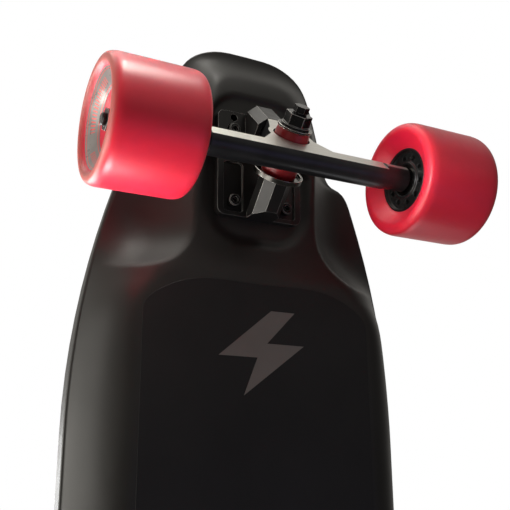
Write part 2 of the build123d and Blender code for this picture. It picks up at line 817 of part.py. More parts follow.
with BuildPart() as pivot_cup:
    with BuildSketch(pivot_plane.offset(pivot_cup_start)):
        Circle(pivot_cup_radius)
    extrude(amount=pivot_cup_end - pivot_cup_start)
    with BuildSketch(pivot_plane.offset(pivot_cup_start)):
        Circle(pivot_radius + running_fit)
    extrude(amount=pivot_end - pivot_cup_start + 0.3, mode=Mode.SUBTRACT)
pivot_cups = [pivot_cup.part.moved(front_truck), pivot_cup.part.moved(rear_truck)]
write_group([cup.solid() for cup in pivot_cups], "pivot_cups")

# ---------------------------------------------------------------- kingpin stack
with BuildPart() as kingpin:
    with BuildSketch(ring_plane.offset(-kingpin_foot)):
        Circle(kingpin_radius)
    extrude(amount=kingpin_foot + kingpin_reach)
    with BuildSketch(ring_plane.offset(kingpin_reach)):
        RegularPolygon(kingpin_drive_flats / 2, 6, major_radius=False)
    extrude(amount=kingpin_drive_length)
kingpins = [kingpin.part.moved(front_truck), kingpin.part.moved(rear_truck)]
write_group([pin.solid() for pin in kingpins], "kingpins")

with BuildPart() as kingpin_nut:
    with BuildSketch(ring_plane.offset(road_bushing_end + washer_thickness)):
        Circle(kingpin_nut_flats / 2 + 2)
        Circle(kingpin_radius, mode=Mode.SUBTRACT)
    extrude(amount=1.6)
    with BuildSketch(ring_plane.offset(road_bushing_end + washer_thickness)):
        RegularPolygon(kingpin_nut_flats / 2, 6, major_radius=False)
        Circle(kingpin_radius, mode=Mode.SUBTRACT)
    extrude(amount=kingpin_nut_height)
kingpin_nuts = [kingpin_nut.part.moved(front_truck), kingpin_nut.part.moved(rear_truck)]
write_group([nut.solid() for nut in kingpin_nuts], "kingpin_nuts")

with BuildPart() as board_side_bushing:
    with BuildSketch(ring_plane.offset(-board_bushing_end)):
        Circle(board_bushing_radius - cup_lip / 2)
    with BuildSketch(ring_plane.offset(-ring_back)):
        Circle(board_bushing_radius)
    loft()
    with BuildSketch(ring_plane.offset(-ring_back)):
        Circle(board_bushing_radius)
    extrude(amount=ring_back - seat_back)
    with BuildSketch(ring_plane.offset(-board_bushing_end)):
        Circle(kingpin_radius)
    extrude(amount=board_bushing_end, mode=Mode.SUBTRACT)

with BuildPart() as road_side_bushing:
    with BuildSketch(ring_plane.offset(seat_front)):
        Circle(road_bushing_radius)
    extrude(amount=ring_front - seat_front)
    with BuildSketch(ring_plane.offset(ring_front)):
        Circle(road_bushing_radius)
    with BuildSketch(ring_plane.offset(road_bushing_end)):
        Circle(road_bushing_radius - 1.2)
    loft()
    with BuildSketch(ring_plane.offset(seat_front)):
        Circle(kingpin_radius)
    extrude(amount=road_bushing_end, mode=Mode.SUBTRACT)
bushing_pair = [board_side_bushing.part, road_side_bushing.part]
write_group([piece.moved(front_truck).solid() for piece in bushing_pair], "front_bushings")
write_group([piece.moved(rear_truck).solid() for piece in bushing_pair], "rear_bushings")

with BuildPart() as board_side_washer:
    with BuildSketch(ring_plane.offset(-board_bushing_end - washer_thickness)):
        Circle(board_washer_radius)
    extrude(amount=washer_thickness + cup_lip)
    with BuildSketch(ring_plane.offset(-board_bushing_end)):
        Circle(board_washer_radius - washer_thickness)
    extrude(amount=cup_lip, mode=Mode.SUBTRACT)
    with BuildSketch(ring_plane.offset(-board_bushing_end - washer_thickness)):
        Circle(kingpin_radius)
    extrude(amount=washer_thickness, mode=Mode.SUBTRACT)

with BuildPart() as road_side_washer:
    with BuildSketch(ring_plane.offset(road_bushing_end)):
        Circle(road_washer_radius)
        Circle(kingpin_radius, mode=Mode.SUBTRACT)
    extrude(amount=washer_thickness)
washers = [board_side_washer.part, road_side_washer.part]
placed_washers = [washer.moved(place) for washer in washers for place in (front_truck, rear_truck)]
write_group([washer.solid() for washer in placed_washers], "cup_washers")

# ---------------------------------------------------------------- hanger
with BuildPart() as hanger:
    with BuildSketch(Plane.XZ):
        Circle(bar_end_radius)
    extrude(amount=hanger_half, both=True)
    with BuildSketch(Plane.XZ):
        Circle(bar_radius)
    extrude(amount=bar_shoulder, both=True)
    with BuildSketch(ring_plane.offset(-ring_back)):
        Circle(ring_radius)
    extrude(amount=ring_back + ring_front)
    # web from the bar round the ring to the pivot stem
    with BuildSketch(ring_plane.offset(-seat_back)):
        Polygon(
            (-20, -web_half_width),
            (-2, -ring_radius),
            (20, -9.5),
            (hood_start - 2, -stem_radius),
            (hood_start - 2, stem_radius),
            (20, 9.5),
            (-2, ring_radius),
            (-20, web_half_width),
            align=None,
        )
    extrude(amount=ring_front + seat_back)
    # road side machined flat from end to end of the bar
    with BuildSketch(ring_plane.offset(ring_front)):
        with Locations((-20, 0)):
            Rectangle(60, 2 * bar_shoulder)
    extrude(amount=20, mode=Mode.SUBTRACT)
    # pivot stem, turned about the steering axis
    stem_start = board_bushing_radius + seat_clearance + 0.5
    with BuildSketch(pivot_plane.offset(stem_start)):
        Circle(stem_radius)
    extrude(amount=hood_start + 2 - stem_start)
    with BuildSketch(pivot_plane.offset(hood_start + 2)):
        Circle(stem_radius)
    with BuildSketch(pivot_plane.offset(pivot_cup_start - 1)):
        Circle(pivot_radius)
    loft()
    with BuildSketch(pivot_plane.offset(pivot_cup_start - 1)):
        Circle(pivot_radius)
    extrude(amount=pivot_end - pivot_cup_start + 1)
    # kingpin hole and the two bushing seats
    with BuildSketch(ring_plane.offset(-ring_back)):
        Circle(ring_bore)
    extrude(amount=ring_back + ring_front, mode=Mode.SUBTRACT)
    with BuildSketch(ring_plane.offset(ring_front)):
        Circle(road_bushing_radius + seat_clearance)
    extrude(amount=seat_front - ring_front, mode=Mode.SUBTRACT)
    with BuildSketch(ring_plane.offset(-ring_back)):
        Circle(board_bushing_radius + seat_clearance)
    extrude(amount=ring_back - seat_back, mode=Mode.SUBTRACT)
    with BuildSketch(Plane.XZ):
        Circle(axle_radius)
    extrude(amount=hanger_half, both=True, mode=Mode.SUBTRACT)
write_at_trucks(hanger.part, "hanger")

with BuildPart() as axle:
    with BuildSketch(Plane.XZ):
        Circle(axle_radius)
    extrude(amount=axle_half, both=True)
    chamfer(axle.faces().filter_by(Plane.XZ).edges(), 0.8)
write_at_trucks(axle.part, "axle")

# ---------------------------------------------------------------- wheels
# Stack along the axle, outwards from the hanger's end, on the +Y side.
inner_race_y = hanger_half + ring_washer_thickness
outer_race_y = inner_race_y + hub_length - bearing_width
washer_y = outer_race_y + bearing_width
nut_y = washer_y + ring_washer_thickness
core_start = wheel_inner + dish_depth
core_end = washer_y - 0.6


def ring(start, length, outer, inner):
    """Plain ring about the axle, from start along +Y."""
    with BuildPart(mode=Mode.PRIVATE) as plain_ring:
        with BuildSketch(Plane.XZ.offset(-start)):
            Circle(outer)
            Circle(inner, mode=Mode.SUBTRACT)
        extrude(amount=-length)
    return plain_ring.part


def both_sides(shape):
    """The solids of a piece and of its copy at the axle's other end."""
    return list(shape.solids()) + list(shape.moved(half_turn).solids())


def write_axle_group(shape, name):
    """Write one group for each truck, with the pieces of both axle ends."""
    solids = both_sides(shape)
    write_group([solid.moved(front_truck) for solid in solids], "front_" + name)
    write_group([solid.moved(rear_truck) for solid in solids], "rear_" + name)


def write_wheel_part(shape, end, name):
    """Write the left and the right copy of a wheel's piece at one truck."""
    place = front_truck if end == "front" else rear_truck
    sides = ("left", "right") if end == "front" else ("right", "left")
    for side, turned in zip(sides, (shape, shape.moved(half_turn))):
        solids = [solid.moved(place) for solid in turned.solids()]
        write_group(solids, end + "_" + side + "_" + name)


with BuildPart() as axle_nut:
    with BuildSketch(Plane.XZ.offset(-nut_y)):
        RegularPolygon(axle_nut_flats / 2, 6, major_radius=False)
        Circle(axle_radius, mode=Mode.SUBTRACT)
    extrude(amount=-axle_nut_height)
write_axle_group(axle_nut.part, "axle_nuts")

with BuildPart() as speed_rings:
    add(ring(hanger_half, ring_washer_thickness, ring_washer_radius, axle_radius))
    add(ring(washer_y, ring_washer_thickness, ring_washer_radius, axle_radius))
write_axle_group(speed_rings.part, "speed_rings")

# front wheels run on two bearings with a spacer between their inner races
with BuildPart() as front_races:
    add(ring(inner_race_y, bearing_width, race_split, axle_radius))
    add(ring(outer_race_y, bearing_width, race_split, axle_radius))
write_group(
    [solid.moved(front_truck) for solid in both_sides(front_races.part)],
    "front_inner_races",
)

spacer_length = outer_race_y - inner_race_y - bearing_width
with BuildPart() as bearing_spacer:
    add(ring(inner_race_y + bearing_width, spacer_length, race_split - 0.5, axle_radius))
write_group(
    [solid.moved(front_truck) for solid in both_sides(bearing_spacer.part)],
    "front_bearing_spacers",
)

with BuildPart() as front_bearing:
    add(ring(inner_race_y, bearing_width, bearing_radius, race_split + running_fit))
    add(ring(outer_race_y, bearing_width, bearing_radius, race_split + running_fit))
write_wheel_part(front_bearing.part, "front", "bearings")

with BuildPart() as front_core:
    with BuildSketch(Plane.YZ):
        Polygon(
            (inner_race_y, bearing_radius),
            (inner_race_y, bearing_radius + 1.6),
            (core_start + 2, bearing_radius + 2.4),
            (core_start + 2, core_radius - 2),
            (core_start, core_radius - 1.4),
            (core_start, core_radius),
            (core_end, core_radius),
            (core_end, bearing_radius + bearing_seat_wall),
            (washer_y, bearing_radius + bearing_seat_wall),
            (washer_y, bearing_radius),
            (outer_race_y, bearing_radius),
            (outer_race_y, bearing_radius - 1.5),
            (inner_race_y + bearing_width, bearing_radius - 1.5),
            (inner_race_y + bearing_width, bearing_radius),
            align=None,
        )
    revolve(axis=Axis.Y)
    with BuildSketch(Plane.XZ.offset(-core_start)):
        with PolarLocations(core_hole_pitch, core_holes):
            Circle(core_hole_radius)
    extrude(amount=-8, mode=Mode.SUBTRACT)
write_wheel_part(front_core.part, "front", "core")


def tyre_profile(bore, bore_start, bore_end, bevel, cap_radius):
    """Half-section of a wheel's urethane, Y along and Z out from the axle."""
    rim = dish_radius + 1.5
    with BuildSketch(Plane.XY, mode=Mode.PRIVATE) as profile:
        with BuildLine():
            Polyline(
                (bore_start, bore),
                (wheel_inner, dish_radius),
                (wheel_inner, rim),
            )
            corner_in = wheel_inner + tread_round
            corner_out = wheel_outer - tread_round
            RadiusArc((wheel_inner, rim), (corner_in, wheel_radius), tread_arc)
            Line((corner_in, wheel_radius), (corner_out, wheel_radius))
            RadiusArc((corner_out, wheel_radius), (wheel_outer, rim), tread_arc)
            Polyline(
                (wheel_outer, rim),
                (wheel_outer, dish_radius),
                (wheel_outer - print_depth, print_radius),
                (wheel_outer - bevel_depth, bevel),
                (bore_end + core_cover, cap_radius),
                (bore_end, cap_radius),
            )
            if cap_radius < bore:
                Line((bore_end, cap_radius), (bore_end, bore))
            Line((bore_end, bore), (bore_start, bore))
        make_face()
    return profile.sketch_local


with BuildPart() as front_tyre:
    with BuildSketch(Plane.YZ):
        add(tyre_profile(core_radius, core_start, core_end, bevel_radius, hub_hole_radius))
    revolve(axis=Axis.Y)
write_wheel_part(front_tyre.part, "front", "tyre")

# ---------------------------------------------------------------- rear wheels with motors
motor_start = inner_race_y
motor_end = washer_y
motor_length = motor_end - motor_start
motor_bearing_in = motor_start
motor_bearing_out = motor_end - motor_bearing_width
stator_start = (motor_start + motor_end - stator_length) / 2
magnet_outer = motor_radius - can_wall
magnet_inner = magnet_outer - magnet_thickness
stator_radius = magnet_inner - air_gap

with BuildPart() as stator:
    add(ring(hanger_half + ring_washer_thickness, washer_y - inner_race_y, stator_hub_radius, axle_radius))
    add(ring(stator_start, stator_length, 13, axle_radius))
    with BuildSketch(Plane.XZ.offset(-stator_start)):
        with PolarLocations(0, stator_teeth):
            with Locations((17.5, 0)):
                Rectangle(12, 4)
            with Locations((stator_radius - 1.4, 0)):
                Rectangle(2.4, 9.5)
        Circle(12)
        Circle(axle_radius, mode=Mode.SUBTRACT)
    extrude(amount=-stator_length)
    # tooth faces turned to one radius
    with BuildSketch(Plane.XZ.offset(-hanger_half)):
        Circle(stator_radius)
    extrude(amount=-60, mode=Mode.INTERSECT)
write_group([solid.moved(rear_truck) for solid in both_sides(stator.part)], "rear_stators")

with BuildPart() as windings:
    with BuildSketch(Plane.XZ.offset(-stator_start + 3)):
        with PolarLocations(0, stator_teeth):
            with Locations((17.3, 0)):
                Rectangle(7.6, 7.4)
    extrude(amount=-stator_length - 6)
    with BuildSketch(Plane.XZ.offset(-stator_start)):
        with PolarLocations(0, stator_teeth):
            with Locations((17.3, 0)):
                Rectangle(7.7, 4.02)
    extrude(amount=-stator_length, mode=Mode.SUBTRACT)
write_group([solid.moved(rear_truck) for solid in both_sides(windings.part)], "rear_windings")

with BuildPart() as rear_races:
    for start in (motor_bearing_in, motor_bearing_out):
        add(ring(start, motor_bearing_width, motor_race_split, stator_hub_radius))
write_group([solid.moved(rear_truck) for solid in both_sides(rear_races.part)], "rear_inner_races")

with BuildPart() as rear_bearing:
    for start in (motor_bearing_in, motor_bearing_out):
        add(ring(start, motor_bearing_width, motor_bearing_radius, motor_race_split + running_fit))
write_wheel_part(rear_bearing.part, "rear", "bearings")

with BuildPart() as rotor:
    add(ring(motor_start, motor_length, motor_radius, magnet_outer))
    add(ring(motor_end - motor_bearing_width, motor_bearing_width, magnet_outer + 1, motor_bearing_radius))
write_wheel_part(rotor.part, "rear", "motor_can")

with BuildPart() as motor_cover:
    add(ring(motor_start, motor_bearing_width, magnet_outer, motor_bearing_radius))
    with BuildSketch(Plane.XZ.offset(-motor_start)):
        with PolarLocations(22, 6):
            Circle(1.6)
    extrude(amount=-2, mode=Mode.SUBTRACT)
write_wheel_part(motor_cover.part, "rear", "motor_cover")

with BuildPart() as magnets:
    add(ring(stator_start, stator_length, magnet_outer, magnet_inner))
    with BuildSketch(Plane.XZ.offset(-stator_start)):
        with PolarLocations(magnet_outer, motor_magnets):
            Rectangle(8, 0.6)
    extrude(amount=-stator_length, mode=Mode.SUBTRACT)
write_wheel_part(magnets.part, "rear", "magnets")

with BuildPart() as rear_tyre:
    with BuildSketch(Plane.YZ):
        add(tyre_profile(motor_radius, core_start, motor_end, print_radius - 1, motor_radius - 2))
    revolve(axis=Axis.Y)
write_wheel_part(rear_tyre.part, "rear", "tyre")
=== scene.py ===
"""Looks of the electric skateboard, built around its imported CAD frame.

Metres, +X to the nose, +Y to the left when facing the nose, +Z up, ground at z = 0.
Places and overall sizes come from the frame; sizes of details are named here.
"""

import json
from math import cos, pi, radians, sin, tau

import bmesh
import bpy
import numpy as np
from mathutils import Matrix, Vector

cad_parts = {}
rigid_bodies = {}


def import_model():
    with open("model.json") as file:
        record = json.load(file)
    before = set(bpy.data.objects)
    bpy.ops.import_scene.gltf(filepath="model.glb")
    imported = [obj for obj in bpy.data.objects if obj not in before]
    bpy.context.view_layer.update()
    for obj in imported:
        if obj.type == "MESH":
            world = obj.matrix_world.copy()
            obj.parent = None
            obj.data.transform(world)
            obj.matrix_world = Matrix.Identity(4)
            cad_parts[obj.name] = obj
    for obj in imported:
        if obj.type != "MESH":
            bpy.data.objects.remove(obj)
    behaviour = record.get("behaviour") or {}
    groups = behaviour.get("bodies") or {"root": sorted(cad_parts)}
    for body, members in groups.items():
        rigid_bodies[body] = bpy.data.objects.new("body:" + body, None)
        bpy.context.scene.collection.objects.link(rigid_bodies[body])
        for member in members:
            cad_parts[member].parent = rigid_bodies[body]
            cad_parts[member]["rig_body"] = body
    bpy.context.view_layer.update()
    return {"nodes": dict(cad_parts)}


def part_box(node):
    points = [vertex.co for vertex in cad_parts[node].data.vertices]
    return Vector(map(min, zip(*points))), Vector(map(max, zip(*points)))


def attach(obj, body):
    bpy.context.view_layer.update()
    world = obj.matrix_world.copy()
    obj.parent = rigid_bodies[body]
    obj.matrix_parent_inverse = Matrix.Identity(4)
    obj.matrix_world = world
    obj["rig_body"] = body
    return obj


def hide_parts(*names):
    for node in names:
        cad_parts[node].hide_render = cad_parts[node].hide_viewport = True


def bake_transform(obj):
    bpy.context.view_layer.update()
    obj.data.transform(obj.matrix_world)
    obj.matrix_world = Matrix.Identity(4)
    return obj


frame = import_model()
nodes = frame["nodes"]

MM = 0.001
ENDS = {"front": 1, "rear": -1}
SIDES = {"left": 1, "right": -1}

# ---------------------------------------------------------------- places from the frame
shell_low, shell_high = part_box("deck_lower_shell")
half_length = shell_high.x
half_width = shell_high.y
parting_z = shell_high.z
panel_z = shell_low.z
tyre_low, tyre_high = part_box("front_left_tyre")
axle_x = (tyre_low.x + tyre_high.x) / 2
axle_z = (tyre_low.z + tyre_high.z) / 2
wheel_radius = (tyre_high.x - tyre_low.x) / 2
wheel_inner = tyre_low.y
wheel_outer = tyre_high.y
seat_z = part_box("front_baseplate")[1].z

# ---------------------------------------------------------------- steering geometry
ring_x = 12 * MM
ring_z = 17 * MM
kingpin_slope = radians(45)


def ring_centre(end):
    """Centre of a truck's bushing seat."""
    return Vector((end * (axle_x + ring_x), 0, axle_z + ring_z))


def kingpin_axis(end):
    """Direction of a truck's kingpin, away from the deck."""
    return Vector((end * sin(kingpin_slope), 0, -cos(kingpin_slope)))


# ---------------------------------------------------------------- node materials
class Finish:
    """A node material under construction."""

    def __init__(self, name):
        self.material = bpy.data.materials.new(name)
        self.material.use_nodes = True
        self.tree = self.material.node_tree
        self.shader = self.tree.nodes["Principled BSDF"]
        self.place = self.add("TexCoord").outputs["Object"]

    def add(self, kind, inputs=None, **settings):
        """A node, with its settings and with values or sockets for its inputs."""
        node = self.tree.nodes.new("ShaderNode" + kind)
        for key, value in settings.items():
            setattr(node, key, value)
        for key, value in (inputs or {}).items():
            if isinstance(value, bpy.types.NodeSocket):
                self.tree.links.new(value, node.inputs[key])
            else:
                node.inputs[key].default_value = value
        return node

    def noise(self, scale, detail=3.0, rough=0.5, place=None):
        """Fractal noise with so many features per metre."""
        inputs = {
            "Vector": place or self.place, "Scale": scale, "Detail": detail, "Roughness": rough,
        }
        return self.add("TexNoise", inputs).outputs["Fac"]

    def cells(self, scale, output="Distance", **settings):
        """Cell pattern with so many cells per metre."""
        inputs = {"Vector": self.place, "Scale": scale}
        return self.add("TexVoronoi", inputs, feature="F1", **settings).outputs[output]

    def stretched(self, x, y, z):
        """Object coordinates scaled along each axis."""
        node = self.add("VectorMath", {0: self.place, 1: (x, y, z)}, operation="MULTIPLY")
        return node.outputs["Vector"]

    def remap(self, source, low, high, start=0.3, end=0.7, smooth=False):
        """Source from start..end to low..high, held at both."""
        inputs = {
            "Value": source, "From Min": start, "From Max": end, "To Min": low, "To Max": high,
        }
        kind = "SMOOTHSTEP" if smooth else "LINEAR"
        return self.add("MapRange", inputs, interpolation_type=kind).outputs["Result"]

    def calc(self, operation, first, second=0.0):
        """One arithmetic step on numbers or sockets."""
        inputs = {0: first, 1: second}
        return self.add("Math", inputs, operation=operation).outputs["Value"]

    def mix(self, factor, first, second, blend="MIX"):
        """Mix of two colours, each a socket or a linear RGB triple."""
        sockets = {0: factor, 6: opaque(first), 7: opaque(second)}
        return self.add("Mix", sockets, data_type="RGBA", blend_type=blend).outputs[2]

    def mottled(self, scale, dark, light, detail=4):
        """Cloudy change between two colours."""
        return self.mix(self.remap(self.noise(scale, detail), 0, 1), dark, light)

    def distance_from(self, value, centre):
        """How far a value is from another, whichever is greater."""
        return self.calc("ABSOLUTE", self.calc("SUBTRACT", value, centre))

    def bump(self, height, depth, under=None):
        """Normal of a relief that is so many metres deep."""
        inputs = {"Height": height, "Distance": depth, "Strength": 1.0}
        if under:
            inputs["Normal"] = under
        return self.add("Bump", inputs).outputs["Normal"]

    def pointed(self, start=0.52, end=0.62):
        """One on sharp outer edges, nothing elsewhere."""
        return self.remap(self.add("NewGeometry").outputs["Pointiness"], 0, 1, start, end)

    def edge_wear_and_highlight(self, scale):
        """Patchy mask on the rounded edges of a copied CAD node, for edges made paler partly as wear and
        partly as painted highlight.
        """
        edge = self.add("Attribute", attribute_name="rounded_edge").outputs["Fac"]
        return self.calc("MULTIPLY", edge, self.remap(self.noise(scale, 4), 0.25, 1))

    def own_normal(self):
        """Unsmoothed face normal, turning with the object."""
        flat = self.add("NewGeometry").outputs["True Normal"]
        change = {"vector_type": "NORMAL", "convert_from": "WORLD", "convert_to": "OBJECT"}
        return self.add("VectorTransform", {"Vector": flat}, **change).outputs["Vector"]

    def set(self, **inputs):
        """Constants or sockets for the shader's inputs, by name with _ for spaces."""
        for key, value in inputs.items():
            socket = self.shader.inputs[key.replace("_", " ")]
            if isinstance(value, bpy.types.NodeSocket):
                self.tree.links.new(value, socket)
            else:
                socket.default_value = opaque(value) if socket.type == "RGBA" else value
        return self.material


def opaque(value):
    """A colour triple with an alpha of one; anything else unchanged."""
    if isinstance(value, tuple) and len(value) == 3:
        return value + (1.0,)
    return value


def surface(
    name, dark, light, rough, spread=0.06, grain=900, depth=0.02, mottle=30, wear_and_highlight=None, **more
):
    """Paint, plastic or metal: mottled colour, uneven gloss, fine grain, rounded edges painted paler,
    partly as wear and partly as painted highlight.

    depth is the height of the grain in millimetres; the edge colour, when given, is that of the rounded
    edges, partly wear and partly painted highlight.
    """
    finish = Finish(name)
    tone = finish.mottled(mottle, dark, light)
    # rounded edges painted paler: partly wear, partly painted highlight
    if wear_and_highlight:
        tone = finish.mix(finish.edge_wear_and_highlight(mottle * 6), tone, wear_and_highlight)
    gloss = finish.remap(finish.noise(mottle * 4, 5), rough - spread, rough + spread)
    normal = finish.bump(finish.noise(grain, 5, 0.6), depth * MM)
    return finish.set(Base_Color=tone, Roughness=gloss, Normal=normal, **more)


def brushed(name, dark, light, rough, stretch, **more):
    """Metal with fine lines, drawn out along the axis where stretch is smallest."""
    finish = Finish(name)
    lines = finish.noise(1.0, 4, 0.7, finish.stretched(*stretch))
    tone = finish.mix(finish.remap(lines, 0, 1), dark, light)
    gloss = finish.remap(finish.noise(45, 4), rough - 0.07, rough + 0.1)
    normal = finish.bump(lines, 0.01 * MM)
    return finish.set(Base_Color=tone, Roughness=gloss, Normal=normal, Metallic=1.0, **more)


def deck_finish():
    """Satin black composite skin with faint ripple and dust."""
    finish = Finish("deck_shell")
    tone = finish.mottled(9, (0.017, 0.0161, 0.0143), (0.025, 0.0238, 0.0212), detail=5)
    dust = finish.remap(finish.noise(1400, 2), 0, 1, 0.72, 0.8)
    tone = finish.mix(dust, tone, (0.05, 0.048, 0.045))
    gloss = finish.remap(finish.noise(26, 6, 0.65), 0.36, 0.46)
    ripple = finish.bump(finish.noise(210, 3), 0.03 * MM)
    normal = finish.bump(finish.noise(2400, 2), 0.006 * MM, ripple)
    return finish.set(Base_Color=tone, Roughness=gloss, Normal=normal, Specular_IOR_Level=0.4)


def panel_finish():
    """Skid panel with a fine moulded texture and long faint scuffs."""
    finish = Finish("belly_panel")
    tone = finish.mottled(14, (0.0195, 0.0192, 0.0192), (0.026, 0.0255, 0.0255))
    scuffs = finish.noise(1.0, 4, 0.7, finish.stretched(20, 700, 700))
    tone = finish.mix(finish.remap(scuffs, 0, 0.5, 0.66, 0.76), tone, (0.03, 0.028, 0.027))
    gloss = finish.remap(finish.noise(40, 5), 0.42, 0.52)
    pits = finish.bump(finish.cells(1500), 0.02 * MM)
    return finish.set(Base_Color=tone, Roughness=gloss, Normal=pits, Specular_IOR_Level=0.22)


def tape_finish():
    """Coarse silicon-carbide grit with a few glinting grains."""
    finish = Finish("grip_tape")
    grains = finish.cells(1100)
    shade = finish.cells(1100, "Color")
    grey = finish.add("SeparateColor", {"Color": shade}).outputs["Red"]
    tone = finish.mix(grey, (0.012, 0.012, 0.012), (0.055, 0.055, 0.056))
    glint = finish.remap(grey, 0, 1, 0.965, 0.98)
    tone = finish.mix(glint, tone, (0.35, 0.35, 0.36))
    wear_and_highlight = finish.remap(finish.noise(7, 4), 0, 0.35, 0.5, 0.75)
    tone = finish.mix(wear_and_highlight, tone, (0.06, 0.058, 0.055))
    gloss = finish.remap(grey, 0.95, 0.45, 0.85, 1)
    normal = finish.bump(grains, 0.5 * MM)
    return finish.set(Base_Color=tone, Roughness=gloss, Normal=normal, Specular_IOR_Level=0.3)


def urethane_finish(name, deep, bright, lip_highlight, rim_highlight):
    """Cast translucent urethane: swirled colour, scuffed tread, and paler lips and a paler outer rim,
    both painted highlight.
    """
    finish = Finish(name)
    swirl = finish.noise(30, 5, 0.6, finish.stretched(1.0, 0.5, 1.0))
    tone = finish.mix(finish.remap(swirl, 0, 1), deep, bright)
    # paler lips on sharp outer edges: painted highlight, and painted glow of light through the thin lips
    tone = finish.mix(finish.calc("MULTIPLY", finish.pointed(0.5, 0.6), 0.7), tone, lip_highlight)
    # paler colour over the rim of the outer face: painted highlight
    out = finish.calc("ABSOLUTE", finish.add("SeparateXYZ", {"Vector": finish.place}).outputs["Y"])
    face = finish.remap(out, 0, 0.8, wheel_outer - 3.5 * MM, wheel_outer - 0.5 * MM)
    tone = finish.mix(face, tone, rim_highlight)
    scuffs = finish.noise(1.0, 5, 0.7, finish.stretched(60, 400, 60))
    gloss = finish.remap(scuffs, 0.34, 0.42, 0.35, 0.7)
    normal = finish.bump(finish.noise(140, 4), 0.02 * MM)
    return finish.set(
        Base_Color=tone,
        Roughness=gloss,
        Normal=normal,
        IOR=1.5,
        Subsurface_Weight=0.55,
        Subsurface_Radius=(1.0, 0.22, 0.2),
        Subsurface_Scale=7 * MM,
        Coat_Weight=0.25,
        Coat_Roughness=0.4,
    )


def print_finish():
    """Silver-grey wheel print with thin rings and plain tick marks."""
    line_half = 0.22
    tick_radius = 25.6
    tick_half = 1.7
    ticks_around = 72
    tick_share = 0.42
    sectors = 3
    sector_share = 0.72
    finish = Finish("wheel_print")
    centred = finish.add("SeparateXYZ", {"Vector": finish.place}).outputs
    across = finish.calc("SUBTRACT", finish.calc("ABSOLUTE", centred["X"]), axle_x)
    height = finish.calc("SUBTRACT", centred["Z"], axle_z)
    across_squared = finish.calc("MULTIPLY", across, across)
    height_squared = finish.calc("MULTIPLY", height, height)
    out = finish.calc("SQRT", finish.calc("ADD", across_squared, height_squared))
    angle = finish.calc("ARCTAN2", height, across)
    lines = 0
    for radius in (21.6, 29.4):
        line = finish.calc("LESS_THAN", finish.distance_from(out, radius * MM), line_half * MM)
        lines = finish.calc("MAXIMUM", lines, line)
    band = finish.calc("LESS_THAN", finish.distance_from(out, tick_radius * MM), tick_half * MM)
    turn = finish.calc("FRACT", finish.calc("MULTIPLY", angle, ticks_around / tau))
    tick = finish.calc("LESS_THAN", turn, tick_share)
    sector = finish.calc("FRACT", finish.calc("MULTIPLY", angle, sectors / tau))
    shown = finish.calc("LESS_THAN", sector, sector_share)
    ticks = finish.calc("MULTIPLY", finish.calc("MULTIPLY", band, tick), shown)
    marks = finish.calc("MAXIMUM", lines, ticks)
    silver = finish.mottled(70, (0.20, 0.185, 0.18), (0.30, 0.28, 0.265))
    tone = finish.mix(marks, silver, (0.75, 0.10, 0.09))
    gloss = finish.remap(finish.noise(260, 3), 0.26, 0.4)
    normal = finish.bump(finish.noise(900, 3), 0.01 * MM)
    return finish.set(
        Base_Color=tone, Roughness=gloss, Normal=normal, Metallic=0.35, Coat_Weight=0.5,
    )


def hanger_finish(name, end):
    """Black satin casting whose road side is machined bright."""
    finish = Finish(name)
    directions = {0: finish.own_normal(), 1: kingpin_axis(end)}
    facing = finish.add("VectorMath", directions, operation="DOT_PRODUCT")
    machined = finish.remap(facing.outputs["Value"], 0, 1, 0.965, 0.985)
    lines = finish.noise(1.0, 3, 0.6, finish.stretched(2600, 40, 2600))
    black = finish.mottled(60, (0.022, 0.022, 0.024), (0.034, 0.034, 0.037))
    # rounded edges painted greyer: partly wear, partly painted highlight
    black = finish.mix(finish.calc("MULTIPLY", finish.edge_wear_and_highlight(300), 0.4), black, (0.3, 0.3, 0.31))
    bright = finish.mix(finish.remap(lines, 0, 1), (0.60, 0.59, 0.555), (0.76, 0.745, 0.70))
    tone = finish.mix(machined, black, bright)
    metal = finish.remap(machined, 0.6, 1.0, 0, 1)
    gloss = finish.remap(machined, 0.33, 0.42, 0, 1)
    cast = finish.bump(finish.noise(1300, 4), 0.008 * MM)
    normal = finish.bump(lines, 0.004 * MM, cast)
    return finish.set(Base_Color=tone, Metallic=metal, Roughness=gloss, Normal=normal)


def board_finish():
    """Green solder mask with tracks under it, and black components."""
    board_thickness = 1.7 * MM
    finish = Finish("circuit_board")
    tracks = finish.cells(190.0, distance="MANHATTAN")
    lines = finish.calc("LESS_THAN", finish.calc("FRACT", finish.calc("MULTIPLY", tracks, 6)), 0.4)
    tone = finish.mix(lines, (0.010, 0.075, 0.030), (0.022, 0.15, 0.06))
    flat = finish.add("NewGeometry").outputs["Normal"]
    up = finish.add("SeparateXYZ", {"Vector": flat}).outputs["Z"]
    height = finish.add("SeparateXYZ", {"Vector": finish.place}).outputs["Z"]
    part = finish.calc("GREATER_THAN", height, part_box("controller_board")[0].z + board_thickness)
    side = finish.calc("LESS_THAN", finish.calc("ABSOLUTE", up), 0.5)
    dark_part = finish.calc("MULTIPLY", part, 0.9)
    dark_side = finish.calc("MULTIPLY", side, 0.4)
    tone = finish.mix(finish.calc("MAXIMUM", dark_part, dark_side), tone, (0.02, 0.02, 0.022))
    normal = finish.bump(lines, 0.03 * MM)
    gloss = finish.remap(finish.noise(300, 3), 0.25, 0.4)
    return finish.set(Base_Color=tone, Roughness=gloss, Normal=normal)


